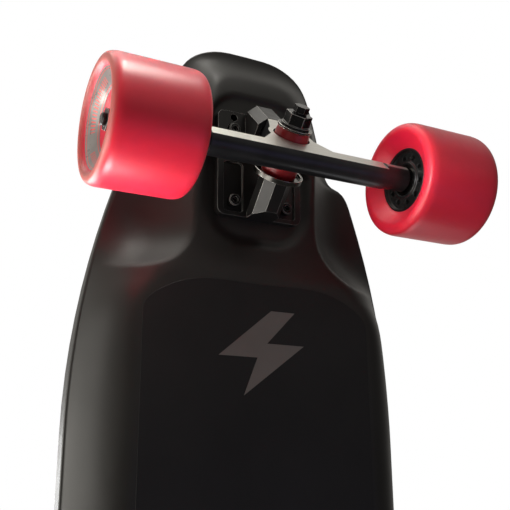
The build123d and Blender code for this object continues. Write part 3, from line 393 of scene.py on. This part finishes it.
MATERIALS = {
    "deck_shell": deck_finish(),
    "belly_panel": panel_finish(),
    "grip_tape": tape_finish(),
    # last two colours: the painted lip highlight and the painted outer-rim highlight
    "urethane": urethane_finish(
        "urethane", (0.80, 0.008, 0.045), (0.93, 0.014, 0.060), (1.0, 0.20, 0.17),
        (0.40, 0.13, 0.10),
    ),
    # last two colours: the painted lip highlight, and the painted outer-rim highlight that does not
    # reach the bushings
    "bushing_urethane": urethane_finish(
        "bushing_urethane", (0.34, 0.006, 0.012), (0.50, 0.012, 0.020), (0.6, 0.06, 0.05),
        (0.4, 0.01, 0.02),
    ),
    "wheel_print": print_finish(),
    "cup_urethane": surface(
        "cup_urethane", (0.012, 0.012, 0.012), (0.02, 0.02, 0.02), 0.55, grain=1600, depth=0.02,
    ),
    "black_plastic": surface(
        "black_plastic", (0.006, 0.006, 0.006), (0.012, 0.012, 0.012), 0.24, 0.05, 700, 0.01,
    ),
    "matte_black": surface(
        "matte_black", (0.016, 0.016, 0.017), (0.03, 0.03, 0.031), 0.6, grain=1900, depth=0.04,
    ),
    # the last colour paints the rounded edges paler: partly wear, partly painted highlight
    "cast_truck": surface(
        "cast_truck", (0.015, 0.0145, 0.014), (0.026, 0.025, 0.024), 0.34, 0.05, 1200, 0.01,
        wear_and_highlight=(0.95, 0.93, 0.88), Metallic=0.35,
    ),
    "front_hanger_metal": hanger_finish("front_hanger_metal", 1),
    "rear_hanger_metal": hanger_finish("rear_hanger_metal", -1),
    "steel": brushed("steel", (0.50, 0.50, 0.51), (0.68, 0.68, 0.69), 0.3, (900, 900, 900)),
    # the last colour paints the rounded edges paler: partly wear, partly painted highlight
    "black_steel": surface(
        "black_steel", (0.006, 0.006, 0.006), (0.011, 0.011, 0.011), 0.22, 0.05, 1400, 0.005,
        wear_and_highlight=(0.50, 0.49, 0.46), Metallic=0.1, Specular_IOR_Level=0.3,
    ),
    # the last colour paints the rounded edges paler: partly wear, partly painted highlight
    "bright_steel": surface(
        "bright_steel", (0.06, 0.058, 0.055), (0.10, 0.097, 0.09), 0.25, 0.05, 1400, 0.005,
        wear_and_highlight=(0.95, 0.93, 0.88), Metallic=1.0,
    ),
    "aluminium": brushed(
        "aluminium", (0.55, 0.55, 0.56), (0.70, 0.70, 0.71), 0.35, (60, 1800, 1800),
    ),
    "brass": brushed("brass", (0.60, 0.42, 0.14), (0.78, 0.58, 0.25), 0.3, (900, 900, 900)),
    "circuit_board": board_finish(),
    "cell_sleeve": surface(
        "cell_sleeve", (0.03, 0.12, 0.32), (0.05, 0.17, 0.42), 0.32, grain=500, depth=0.03,
    ),
    "copper": brushed("copper", (0.55, 0.20, 0.08), (0.78, 0.35, 0.16), 0.35, (300, 2500, 300)),
    "lamination": brushed(
        "lamination", (0.16, 0.16, 0.17), (0.30, 0.30, 0.31), 0.45, (80, 3000, 80),
    ),
    "magnet": brushed("magnet", (0.55, 0.54, 0.52), (0.72, 0.71, 0.69), 0.25, (900, 900, 900)),
    "mark_print": surface(
        "mark_print", (0.205, 0.188, 0.172), (0.245, 0.226, 0.208), 0.5, 0.05, 1500, 0.01,
        Specular_IOR_Level=0.25,
    ),
}


# ---------------------------------------------------------------- mesh helpers
def make_piece(name, points, faces, material, smooth=35):
    """A mesh piece in the part's own frame, shaded smooth up to that angle in degrees."""
    mesh = bpy.data.meshes.new(name)
    mesh.from_pydata([tuple(point) for point in points], [], faces)
    return finish_piece(name, mesh, material, smooth)


def finish_piece(name, mesh, material, smooth=35):
    """An object for a mesh, with its normals outward, its shading and its material."""
    tidy = bmesh.new()
    tidy.from_mesh(mesh)
    bmesh.ops.recalc_face_normals(tidy, faces=tidy.faces)
    tidy.to_mesh(mesh)
    tidy.free()
    mesh.materials.clear()
    mesh.materials.append(MATERIALS[material])
    mesh.shade_smooth()
    mesh.set_sharp_from_angle(angle=radians(smooth))
    piece = bpy.data.objects.new(name, mesh)
    bpy.context.scene.collection.objects.link(piece)
    return piece


def soften(outline, reach, steps=5):
    """A closed outline with its corners rounded; a third number is a corner's own reach."""
    softened = []
    for index, (x, y, *own) in enumerate(outline):
        corner = Vector((x, y))
        before = Vector(outline[index - 1][:2]) - corner
        after = Vector(outline[(index + 1) % len(outline)][:2]) - corner
        cut = own[0] if own else reach
        start = corner + before.normalized() * min(cut, before.length * 0.48)
        end = corner + after.normalized() * min(cut, after.length * 0.48)
        for step in range(steps + 1):
            t = step / steps
            softened.append((1 - t) ** 2 * start + 2 * (1 - t) * t * corner + t * t * end)
    return softened


def lathe(name, outline, origin, axis, material, steps=128, smooth=35):
    """A closed outline of (along, out) points in millimetres, turned about an axis."""
    axis = Vector(axis).normalized()
    side = axis.orthogonal().normalized()
    other = axis.cross(side)
    points = []
    for step in range(steps):
        angle = tau * step / steps
        spoke = side * cos(angle) + other * sin(angle)
        points += [Vector(origin) + (axis * along + spoke * out) * MM for along, out in outline]
    count = len(outline)
    faces = []
    for step in range(steps):
        here, there = step * count, (step + 1) % steps * count
        for index in range(count):
            after = (index + 1) % count
            faces.append((here + index, here + after, there + after, there + index))
    return make_piece(name, points, faces, material, smooth)


def prism(name, outline, low, high, material):
    """A flat outline of (x, y) points in metres, between two heights."""
    count = len(outline)
    points = [(x, y, low) for x, y in outline] + [(x, y, high) for x, y in outline]
    faces = [tuple(range(count)), tuple(range(count, 2 * count))]
    faces += [(i, (i + 1) % count, count + (i + 1) % count, count + i) for i in range(count)]
    return make_piece(name, points, faces, material, smooth=30)


def round_edges(mesh, width, angle=28, steps=2):
    """Rounds a mesh's edges sharper than that angle, after joining its flat faces."""
    shape = bmesh.new()
    shape.from_mesh(mesh)
    edge_mark = shape.faces.layers.float.new("rounded_edge")
    bmesh.ops.remove_doubles(shape, verts=shape.verts, dist=0.01 * MM)
    bmesh.ops.dissolve_limit(shape, angle_limit=radians(0.6), verts=shape.verts, edges=shape.edges)
    folds = [e for e in shape.edges if len(e.link_faces) == 2]
    sharp = [e for e in folds if e.calc_face_angle() > radians(angle)]
    made = bmesh.ops.bevel(
        shape, geom=sharp, offset=width, segments=steps, profile=0.5, affect="EDGES",
        clamp_overlap=True, miter_outer="ARC", loop_slide=True,
    )
    for face in made["faces"]:
        face[edge_mark] = 1.0
    shape.to_mesh(mesh)
    shape.free()


def rounded_copy(node, width, material, slot, smooth=40):
    """A copy of a CAD node with rounded edges, which stands for it."""
    mesh = nodes[node].data.copy()
    round_edges(mesh, width)
    piece = finish_piece(node + "_finished", mesh, material, smooth)
    flatten = piece.modifiers.new("flat_faces", "WEIGHTED_NORMAL")
    flatten.keep_sharp = True
    place(piece, body_of(node), slot)
    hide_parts(node)
    return piece


def body_of(node):
    """Name of the body that a CAD node is on."""
    return nodes[node]["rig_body"]


def place(piece, body, slot):
    """A piece rides on a body; the slot is not used."""
    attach(piece, body)
    return piece


def step_up(value, start, end):
    """Smooth step from 0 at start to 1 at end."""
    t = np.clip((value - start) / (end - start), 0, 1)
    return t * t * (3 - 2 * t)


# ---------------------------------------------------------------- deck, lower shell
edge_round = 1.4 * MM
roof_z = parting_z - 2.2 * MM
# distance from the middle of the deck, then the value there, in millimetres
KEEL = ([0, 284, 312, 422, 430, 470], [93.9, 93.9, 98.6, 98.8, 100.6, 116.8])
RAIL = ([0, 265, 300, 395, 430, 456, 470], [122.0, 122.0, 122.0, 121.6, 119.6, 118.0, 117.0])
BELLY_HALF = ([0, 245, 256, 268, 280, 296, 312, 355, 400], [86, 86, 85.5, 81, 69, 55, 48, 45, 40])
nose_dome = 28 * MM
well_start = 287 * MM
well_half = 47 * MM
well_corner = 42 * MM
well_wall = 50 * MM
well_fade = (385 * MM, 428 * MM)
brow_start = (385 * MM, 425 * MM)
belly_end = 400 * MM
flank_roundness = 2.1
nose_corner = 14 * MM
recess_centre = 370.5 * MM
recess_half_length = 55.5 * MM
recess_half_width = 38 * MM
recess_corner = 26 * MM
recess_edge = {"nose": 1.5 * MM, "belly": 6 * MM}
recess_lip = -3 * MM
bay_corner = 8 * MM
# half length and half width, in metres
BATTERY_BAY = (150 * MM, 76 * MM)
SMALL_BAY = (46 * MM, 68 * MM)


def table_at(table, x):
    """Value of a table in millimetres, smoothly between its points, in metres."""
    known = np.array(table[0]) * MM
    values = np.array(table[1]) * MM
    index = np.clip(np.searchsorted(known, x) - 1, 0, len(known) - 2)
    t = np.clip((x - known[index]) / (known[index + 1] - known[index]), 0, 1)
    slopes = np.gradient(values, known)
    flat = np.isclose(np.diff(values), 0)
    slopes[:-1][flat] = 0
    slopes[1:][flat] = 0
    span = known[index + 1] - known[index]
    t2, t3 = t * t, t * t * t
    start = (2 * t3 - 3 * t2 + 1) * values[index] + (t3 - 2 * t2 + t) * span * slopes[index]
    end = (3 * t2 - 2 * t3) * values[index + 1] + (t3 - t2) * span * slopes[index + 1]
    return start + end


def rim_of(node, height):
    """Outer rim of a node's flat faces at that height, as an ordered list of points."""
    shape = bmesh.new()
    shape.from_mesh(nodes[node].data)
    bmesh.ops.remove_doubles(shape, verts=shape.verts, dist=0.01 * MM)
    flat = {f for f in shape.faces if all(abs(v.co.z - height) < 0.01 * MM for v in f.verts)}
    border = [e for e in shape.edges if sum(f in flat for f in e.link_faces) == 1]
    ways = {}
    for edge in border:
        first, second = edge.verts
        ways.setdefault(first, []).append(second)
        ways.setdefault(second, []).append(first)
    loops = []
    while ways:
        start = next(iter(ways))
        loop = [start]
        here = ways.pop(start)[0]
        while here in ways:
            loop.append(here)
            onward = [v for v in ways.pop(here) if v in ways]
            if not onward:
                break
            here = onward[0]
        loops.append([v.co.copy() for v in loop])
    shape.free()
    return max(loops, key=lambda loop: max(p.x for p in loop) - min(p.x for p in loop))


def quarter_rim():
    """The deck's outline from its middle to the nose's tip, x and y at least zero."""
    loop = rim_of("deck_upper_shell", parting_z)
    quarter = {(round(p.x, 6), round(p.y, 6)) for p in loop if p.x > 0 and p.y > 0}
    between = sorted((p for p in quarter if min(p) > 0), key=lambda p: (p[0], -p[1]))
    return np.array([(0.0, half_width)] + between + [(half_length, 0.0)])


def drawn_in(line, inset):
    """An open line of points moved inwards, towards the middle of the deck."""
    ahead = np.gradient(line, axis=0)
    ahead /= np.linalg.norm(ahead, axis=1)[:, None]
    ahead[0] = (1, 0)
    ahead[-1] = (0, -1)
    return line + inset * np.column_stack([ahead[:, 1], -ahead[:, 0]])


def along(line, fractions):
    """Points at fractions of a line's length."""
    steps = np.linalg.norm(np.diff(line, axis=0), axis=1)
    run = np.concatenate([[0], np.cumsum(steps)]) / steps.sum()
    return np.column_stack([np.interp(fractions, run, line[:, axis]) for axis in (0, 1)])


def hull_grid(quarter):
    """Rows of (x, y) points over the whole deck, which follow its outline.

    The rows lie closer from the front of the belly on, and the points closer near the deck's edges.
    """
    edge_crowding = 0.1
    corner_x = half_length - nose_corner
    rows = np.concatenate([
        np.linspace(0, 270, 42), np.linspace(272.2, 440, 76), np.linspace(442, 455.8, 8),
    ]) * MM
    spread = np.linspace(0, 1, 141)
    across = spread - edge_crowding * np.sin(tau * spread)
    corner = np.array([corner_x, np.interp(corner_x, quarter[:, 0], quarter[:, 1])])
    side = np.vstack([quarter[quarter[:, 0] < corner_x], corner])
    nose = np.vstack([corner, quarter[quarter[:, 0] > corner_x]])
    nose = np.vstack([nose, (nose * (1, -1))[-2::-1]])[::-1]
    far = along(nose, across)
    near = np.column_stack([np.zeros(len(across)), quarter[0, 1] * (2 * across - 1)])
    left_y = np.interp(rows, side[:, 0], side[:, 1])
    u = (rows / corner_x)[:, None, None]
    v = across[None, :, None]
    right = np.column_stack([rows, left_y])[:, None, :]
    left = right * (1, -1)
    flat = (1 - u) * near[None] + u * far[None] + (1 - v) * left + v * right
    corners = (1 - u) * ((1 - v) * near[0] + v * near[-1]) + u * ((1 - v) * far[0] + v * far[-1])
    half = flat - corners
    half = np.concatenate([half, far[None]])
    return np.concatenate([(half * (-1, 1))[:0:-1], half])


def distance_to(points, line):
    """Distance of each point to the nearest point of a line of points."""
    found = [np.sqrt(((row[:, None, :] - line[None]) ** 2).sum(2)).min(1) for row in points]
    return np.array(found)


def hull_height(x, y, quarter, gap):
    """Height of the deck's underside at points x, y that lie gap inside its edge."""
    ahead = np.abs(x)
    out = np.abs(y)
    keel = table_at(KEEL, ahead)
    rail = table_at(RAIL, ahead)
    width = np.interp(ahead, quarter[:, 0], quarter[:, 1])
    run = width - table_at(BELLY_HALF, np.minimum(ahead, belly_end))
    middle = np.clip((width - out) / run, 0, 1)
    dome = np.clip(gap / nose_dome, 0, 1)
    share = step_up(ahead, *brow_start)
    flank = 1 - (1 - middle) ** flank_roundness
    brow = dome * (1.5 - 0.5 * dome * dome)
    side = rail - (rail - keel) * (flank * (1 - share) + brow * share)
    # wells over the wheels
    into_x = ahead - well_start
    into_y = out - well_half
    short_x = np.maximum(well_corner - into_x, 0)
    short_y = np.maximum(well_corner - into_y, 0)
    in_corner = (short_x > 0) & (short_y > 0)
    round_corner = well_corner - np.hypot(short_x, short_y)
    inside = np.where(in_corner, round_corner, np.minimum(into_x, into_y))
    depth = 1 - (1 - np.clip(inside / well_wall, 0, 1)) ** 2
    depth = depth * (1 - step_up(ahead, *well_fade))
    height = side + np.maximum(roof_z - side, 0) * depth
    # recess for the truck
    beside_x = np.abs(ahead - recess_centre) - (recess_half_length - recess_corner)
    beside_y = out - (recess_half_width - recess_corner)
    outside = np.hypot(np.maximum(beside_x, 0), np.maximum(beside_y, 0))
    outside += np.minimum(np.maximum(beside_x, beside_y), 0)
    spread = np.where(ahead > recess_centre, recess_edge["nose"], recess_edge["belly"])
    sunk = 1 - step_up(outside - recess_corner, recess_lip, spread)
    return np.where(height < seat_z, height + (seat_z - height) * sunk, height)


def make_lower_shell():
    """Smooth lower shell: belly, wheel wells, recesses, side wall and the bays inside."""
    quarter = quarter_rim()
    inner = drawn_in(quarter, edge_round)
    grid = hull_grid(inner)
    rim = np.vstack([quarter, quarter[::-1] * (1, -1)])
    rim = np.vstack([rim, rim[::-1] * (-1, 1)])
    dense = along(rim, np.linspace(0, 1, 1600))
    gap = np.maximum(distance_to(grid, dense) - edge_round, 0)
    heights = hull_height(grid[:, :, 0], grid[:, :, 1], inner, gap)
    rows, columns = heights.shape
    points = np.dstack([grid, heights]).reshape(-1, 3)
    faces = [
        (i * columns + j, i * columns + j + 1, (i + 1) * columns + j + 1, (i + 1) * columns + j)
        for i in range(rows - 1) for j in range(columns - 1)
    ]
    edge = list(range(columns))
    edge += [i * columns + columns - 1 for i in range(1, rows)]
    edge += [(rows - 1) * columns + j for j in range(columns - 2, -1, -1)]
    edge += [i * columns for i in range(rows - 2, 0, -1)]
    base = points[edge]
    ahead = np.roll(base[:, :2], -1, axis=0) - np.roll(base[:, :2], 1, axis=0)
    ahead /= np.linalg.norm(ahead, axis=1)[:, None]
    outward = np.column_stack([ahead[:, 1], -ahead[:, 0]])
    if (outward * base[:, :2]).sum() < 0:
        outward = -outward
    rings = []
    for turn in np.linspace(0, pi / 2, 5)[1:]:
        ring = base.copy()
        ring[:, :2] += outward * edge_round * sin(turn)
        ring[:, 2] += edge_round * (1 - cos(turn))
        rings.append(ring)
    top = rings[-1].copy()
    top[:, 2] = parting_z
    rings.append(top)
    count = len(edge)
    below = edge
    for ring in rings:
        start = len(points)
        points = np.vstack([points, ring])
        above = list(range(start, start + count))
        for here in range(count):
            after = (here + 1) % count
            faces.append((below[here], below[after], above[after], above[here]))
        below = above
    faces.append(tuple(below))
    shell = make_piece("deck_hull", points, faces, "deck_shell", 50)
    for bay in bay_cutters():
        carve(shell, bay)
    shell.data.shade_smooth()
    shell.data.set_sharp_from_angle(angle=radians(50))
    place(shell, "deck", "deck_shell")
    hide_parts("deck_lower_shell")
    return shell


def rounded_rectangle(centre, half_x, half_y, radius, steps=5):
    """Points of a rectangle with round corners, in metres."""
    x, y = centre
    signs = ((-1, -1), (1, -1), (1, 1), (-1, 1))
    return soften([(x + i * half_x, y + j * half_y) for i, j in signs], radius, steps)


def bay_cutters():
    """Solids of the battery bay and the two small bays."""
    floor_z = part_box("battery_case")[0].z
    small_x = (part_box("battery_management_board")[0].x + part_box("battery_management_board")[1].x) / 2
    bays = [((0, 0), BATTERY_BAY), ((small_x, 0), SMALL_BAY), ((-small_x, 0), SMALL_BAY)]
    for number, (centre, half_sizes) in enumerate(bays):
        outline = rounded_rectangle(centre, *half_sizes, bay_corner)
        yield prism(f"bay_{number}", outline, floor_z, parting_z + 5 * MM, "matte_black")


def carve(piece, cutter):
    """Cuts one solid out of another, and removes the cutter."""
    cut = piece.modifiers.new("cut", "BOOLEAN")
    cut.operation = "DIFFERENCE"
    cut.object = cutter
    cut.solver = "EXACT"
    bpy.context.view_layer.update()
    seen = piece.evaluated_get(bpy.context.evaluated_depsgraph_get())
    mesh = bpy.data.meshes.new_from_object(seen)
    piece.modifiers.remove(cut)
    old = piece.data
    piece.data = mesh
    bpy.data.meshes.remove(old)
    mesh.name = piece.name
    bpy.data.objects.remove(cutter)


make_lower_shell()


# ---------------------------------------------------------------- belly panel and its mark
def make_mark():
    """Plain lightning-bolt symbol printed on the belly panel."""
    centre_x = 235 * MM
    reach = 29 * MM
    width = 46 * MM
    sunk = 0.2 * MM
    proud = 0.08 * MM
    bolt = [
        (1, 0.15), (-0.12, -0.7), (-0.12, -0.08), (-1, -0.3), (0.22, 0.7), (0.22, 0.08), (1, 0.55),
    ]
    outline = [(centre_x + reach * x, width * y) for x, y in bolt]
    mark = prism("belly_mark", outline, panel_z - proud, panel_z + sunk, "mark_print")
    place(mark, "deck", "belly_panel")


rounded_copy("belly_panel", 0.35 * MM, "belly_panel", "belly_panel")
make_mark()


# ---------------------------------------------------------------- wheels
def wheel_places(end):
    """Name, side and axle centre of an axle's two wheels."""
    for side, sign in SIDES.items():
        yield f"{end}_{side}", sign, Vector((ENDS[end] * axle_x, 0, axle_z))


def tyre_outline(bore, bore_end, bevel, cap):
    """Half-section of a tyre: distance from the board's middle, radius, reach of the rounding."""
    inner = wheel_inner / MM
    outer = wheel_outer / MM
    radius = wheel_radius / MM
    return soften(
        [
            (inner + 7.0, bore, 1.0),
            (inner + 0.6, 32.2, 2.0),
            (inner, 34.2, 1.6),
            (inner + 1.2, 38.4, 3.4),
            (inner + 5.0, radius, 3.4),
            (outer - 5.0, radius, 3.4),
            (outer - 1.2, 38.4, 3.4),
            (outer, 35.6, 2.0),
            (outer - 0.2, 33.6, 1.6),
            (outer - 3.3, 31.2, 1.2),
            (outer - 10.0, bevel, 0.8),
            (bore_end + 1.2, cap, 0.8),
            (bore_end, cap, 0.2),
            (bore_end, bore, 0.3),
        ],
        1.0,
    )


def make_wheel(name, end, sign, centre):
    """Tyre of one wheel, and a front wheel's printed ring on its outer cone."""
    core_seat = 0.6
    # the outer cone's inset and radius at its rim, then how far it runs inwards and narrows
    cone_edge = (3.3, 31.2)
    cone_run = 6.7
    cone_rise = 11.2
    print_radii = (30.6, 20.4)
    proud = 0.15
    sunk = 0.3
    turned = 160
    axis = (0, sign, 0)
    core_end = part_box("front_left_core")[1].y / MM
    if end == "front":
        outline = tyre_outline(bore=22.5, bore_end=core_end - core_seat, bevel=20.0, cap=13.5)
    else:
        outline = tyre_outline(bore=31.0, bore_end=core_end, bevel=30.0, cap=29.0)
    tyre = lathe(name + "_tyre_cast", outline, centre, axis, "urethane", turned)
    place(tyre, name + "_wheel", "urethane")
    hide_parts(name + "_tyre")
    if end == "front":
        outer = wheel_outer / MM
        depth, rim = cone_edge
        strip = [(outer - depth - (rim - r) * cone_run / cone_rise, r) for r in print_radii]
        band = [(out + proud, r) for out, r in strip]
        band += [(out - sunk, r) for out, r in reversed(strip)]
        band = soften(band, 0.1, 2)
        ring = lathe(name + "_print_ring", band, centre, axis, "wheel_print", turned)
        place(ring, name + "_wheel", "urethane")


for end in ENDS:
    for name, sign, centre in wheel_places(end):
        make_wheel(name, end, sign, centre)


# ---------------------------------------------------------------- trucks
def bushing(name, outline, end):
    """A urethane bushing on the kingpin.

    The outline is in millimetres along the kingpin from the ring's centre.
    """
    centre = ring_centre(end)
    axis = kingpin_axis(end)
    piece = lathe(name, soften(outline, 1.2, 4), centre, axis, "bushing_urethane", 96)
    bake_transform(piece)
    return piece


for end, sign in ENDS.items():
    board = bushing(
        end + "_board_bushing",
        [(-17.0, 5.3), (-17.0, 12.3), (-12.0, 12.7), (-7.0, 12.7), (-3.0, 12.3), (-3.0, 5.3)],
        sign,
    )
    road = bushing(
        end + "_road_bushing",
        [(5.0, 5.3), (5.0, 12.1), (8.0, 12.3), (13.0, 11.8), (16.8, 11.1), (16.8, 5.3)],
        sign,
    )
    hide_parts(end + "_bushings")
    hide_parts(end + "_bushings")
    rounded_copy(end + "_baseplate", 0.45 * MM, "cast_truck", "cast_truck")
    rounded_copy(end + "_hanger", 0.6 * MM, end + "_hanger_metal", "hanger_metal")
    rounded_copy(end + "_axle_nuts", 0.3 * MM, "black_steel", "black_steel")

for node, width, material in (
    ("kingpins", 0.3, "black_steel"),
    ("kingpin_nuts", 0.4, "black_steel"),
    ("cup_washers", 0.25, "bright_steel"),
    ("truck_bolts", 0.3, "black_steel"),
    ("front_left_core", 0.4, "black_plastic"),
    ("front_right_core", 0.4, "black_plastic"),
    ("battery_lid", 0.5, "deck_shell"),
    ("charge_cover", 0.6, "cup_urethane"),
    ("power_button", 0.4, "matte_black"),
):
    rounded_copy(node, width * MM, material, material)

# ---------------------------------------------------------------- materials of the kept CAD nodes
for node in nodes.values():
    if not node.hide_render:
        wanted = node.data.materials[0].name.split(".")[0]
        node.data.materials[0] = MATERIALS[wanted]


# ---------------------------------------------------------------- floor, light and camera
def aim(thing, location, target, up=(0, 0, 1)):
    """Puts a lamp or camera somewhere, looking at a target."""
    back = (Vector(location) - Vector(target)).normalized()
    right = Vector(up).cross(back).normalized()
    turn = Matrix((right, back.cross(right), back)).transposed().to_4x4()
    thing.matrix_world = Matrix.Translation(location) @ turn
    bpy.context.scene.collection.objects.link(thing)


def make_floor():
    """Pale floor that only the camera sees, only from above; it fades into the white around it."""
    size = 8.0
    drop = -0.3 * MM
    fade_start = 0.42
    fade_end = 1.05
    corners = [(-size, -size, drop), (size, -size, drop), (size, size, drop), (-size, size, drop)]
    mesh = bpy.data.meshes.new("floor")
    mesh.from_pydata(corners, [], [(0, 1, 2, 3)])
    floor = bpy.data.objects.new("floor", mesh)
    bpy.context.scene.collection.objects.link(floor)
    finish = Finish("floor")
    finish.set(Base_Color=(0.50, 0.50, 0.495), Roughness=0.9, Specular_IOR_Level=0.1)
    finish.set(Emission_Color=(1.0, 1.0, 1.0), Emission_Strength=0.28)
    clear = finish.add("BsdfTransparent").outputs["BSDF"]
    seen = finish.add("LightPath").outputs["Is Camera Ray"]
    above = finish.calc("SUBTRACT", 1.0, finish.add("NewGeometry").outputs["Backfacing"])
    oval = finish.stretched(0.75, 1.0, 1.0)
    away = finish.add("VectorMath", {0: oval}, operation="LENGTH").outputs["Value"]
    near = finish.remap(away, 1, 0, fade_start, fade_end, smooth=True)
    shown = finish.calc("MULTIPLY", finish.calc("MULTIPLY", seen, above), near)
    blend = finish.add("MixShader", {0: shown, 1: clear, 2: finish.shader.outputs["BSDF"]})
    output = finish.tree.nodes["Material Output"]
    finish.tree.links.new(blend.outputs["Shader"], output.inputs["Surface"])
    mesh.materials.append(finish.material)


WARM = (1.0, 0.965, 0.90)
WHITE = (1.0, 1.0, 1.0)


def make_world():
    """White to the camera, soft studio surround to the object."""
    bright_side = (0.55, -0.55, 0.60)
    ambient = 0.10
    world = bpy.data.worlds.new("studio")
    bpy.context.scene.world = world
    world.use_nodes = True
    tree = world.node_tree
    background = tree.nodes["Background"]
    path = tree.nodes.new("ShaderNodeLightPath")
    tint = tree.nodes.new("ShaderNodeMix")
    tint.data_type = "RGBA"
    tint.inputs[6].default_value = opaque(WARM)
    tint.inputs[7].default_value = opaque(WHITE)
    tree.links.new(path.outputs["Is Camera Ray"], tint.inputs[0])
    tree.links.new(tint.outputs[2], background.inputs["Color"])
    direction = tree.nodes.new("ShaderNodeTexCoord").outputs["Generated"]
    toward = tree.nodes.new("ShaderNodeVectorMath")
    toward.operation = "DOT_PRODUCT"
    tree.links.new(direction, toward.inputs[0])
    toward.inputs[1].default_value = Vector(bright_side)
    shade = tree.nodes.new("ShaderNodeMapRange")
    tree.links.new(toward.outputs["Value"], shade.inputs["Value"])
    for key, value in (("From Min", -0.40), ("From Max", 0.05), ("To Min", 0.10), ("To Max", 0.5)):
        shade.inputs[key].default_value = value

    def combine(operation, first, second):
        node = tree.nodes.new("ShaderNodeMath")
        node.operation = operation
        for socket, value in zip(node.inputs, (first, second)):
            if isinstance(value, float):
                socket.default_value = value
            else:
                tree.links.new(value, socket)
        return node.outputs["Value"]

    glossy = combine("MULTIPLY", path.outputs["Is Glossy Ray"], shade.outputs["Result"])
    seen = combine("MAXIMUM", path.outputs["Is Camera Ray"], path.outputs["Is Transmission Ray"])
    strength = combine("MAXIMUM", combine("MAXIMUM", seen, glossy), ambient)
    tree.links.new(strength, background.inputs["Strength"])


def softbox(name, location, target, size, power, colour, spread):
    """Square area lamp, unseen by the camera, whose light fans out by spread degrees."""
    lamp = bpy.data.lights.new(name, "AREA")
    lamp.shape = "SQUARE"
    lamp.size = size
    lamp.energy = power
    lamp.color = colour
    lamp.spread = radians(spread)
    box = bpy.data.objects.new(name, lamp)
    box.visible_camera = False
    aim(box, location, target)


def make_camera():
    """Close view from below, beside the front truck, looking up at the belly."""
    stand = (0.1505, -0.2441, -0.3741)
    target = (0.2812, -0.0388, 0.0279)
    upward = (0.9605, -0.1232, -0.2494)
    lens = bpy.data.cameras.new("camera")
    lens.sensor_width = 36.0
    lens.lens = 55.8
    lens.clip_start = 0.01
    camera = bpy.data.objects.new("camera", lens)
    aim(camera, stand, target, upward)
    bpy.context.scene.camera = camera


make_floor()
make_world()
front = (axle_x, 0.0, axle_z)
# name, place, target, size in metres, power in watts, colour, fan in degrees
LAMPS = (
    ("nose_light", (1.27, -0.22, 0.28), front, 0.7, 3.0, WARM, 180),
    ("flat_light", (1.2, 0.42, 0.4), front, 0.3, 0.003, WARM, 25),
    ("band_light", (1.13, -0.02, -0.12), (0.362, -0.15, 0.045), 0.18, 0.075, WARM, 12),
    ("under_light", (0.8, 0.42, -0.85), (0.35, 0.0, 0.1), 0.9, 0.65, WARM, 180),
    ("inner_light", (0.35, -0.03, -0.034), (0.362, 0.11, 0.03), 0.06, 0.015, WHITE, 50),
    ("left_light", (0.1, -1.25, 0.2), (0.1, -0.1, 0.08), 1.0, 8.0, WARM, 180),
    ("rim_light", (0.1, -1.1, 0.62), (0.1, -0.1, 0.1), 0.4, 3.0, WARM, 180),
    ("facet_light", (-0.14, -0.75, -0.04), front, 0.35, 1.8, WARM, 180),
    ("fill_light", (0.15, -0.13, 0.07), (0.33, -0.11, 0.02), 0.06, 0.05, WHITE, 60),
    ("violet_light", (-0.12, 0.38, -0.75), front, 0.5, 0.35, (0.5, 0.45, 1.0), 180),
    ("top_light", (-0.4, -0.8, 1.7), (0, 0, 0.1), 1.2, 34, WHITE, 180),
    ("tail_light", (-1.6, 0.9, 0.9), (-0.3, 0, 0.1), 1.0, 7, WHITE, 180),
)
for lamp in LAMPS:
    softbox(*lamp)
make_camera()
bpy.context.scene.view_settings.view_transform = "Standard"
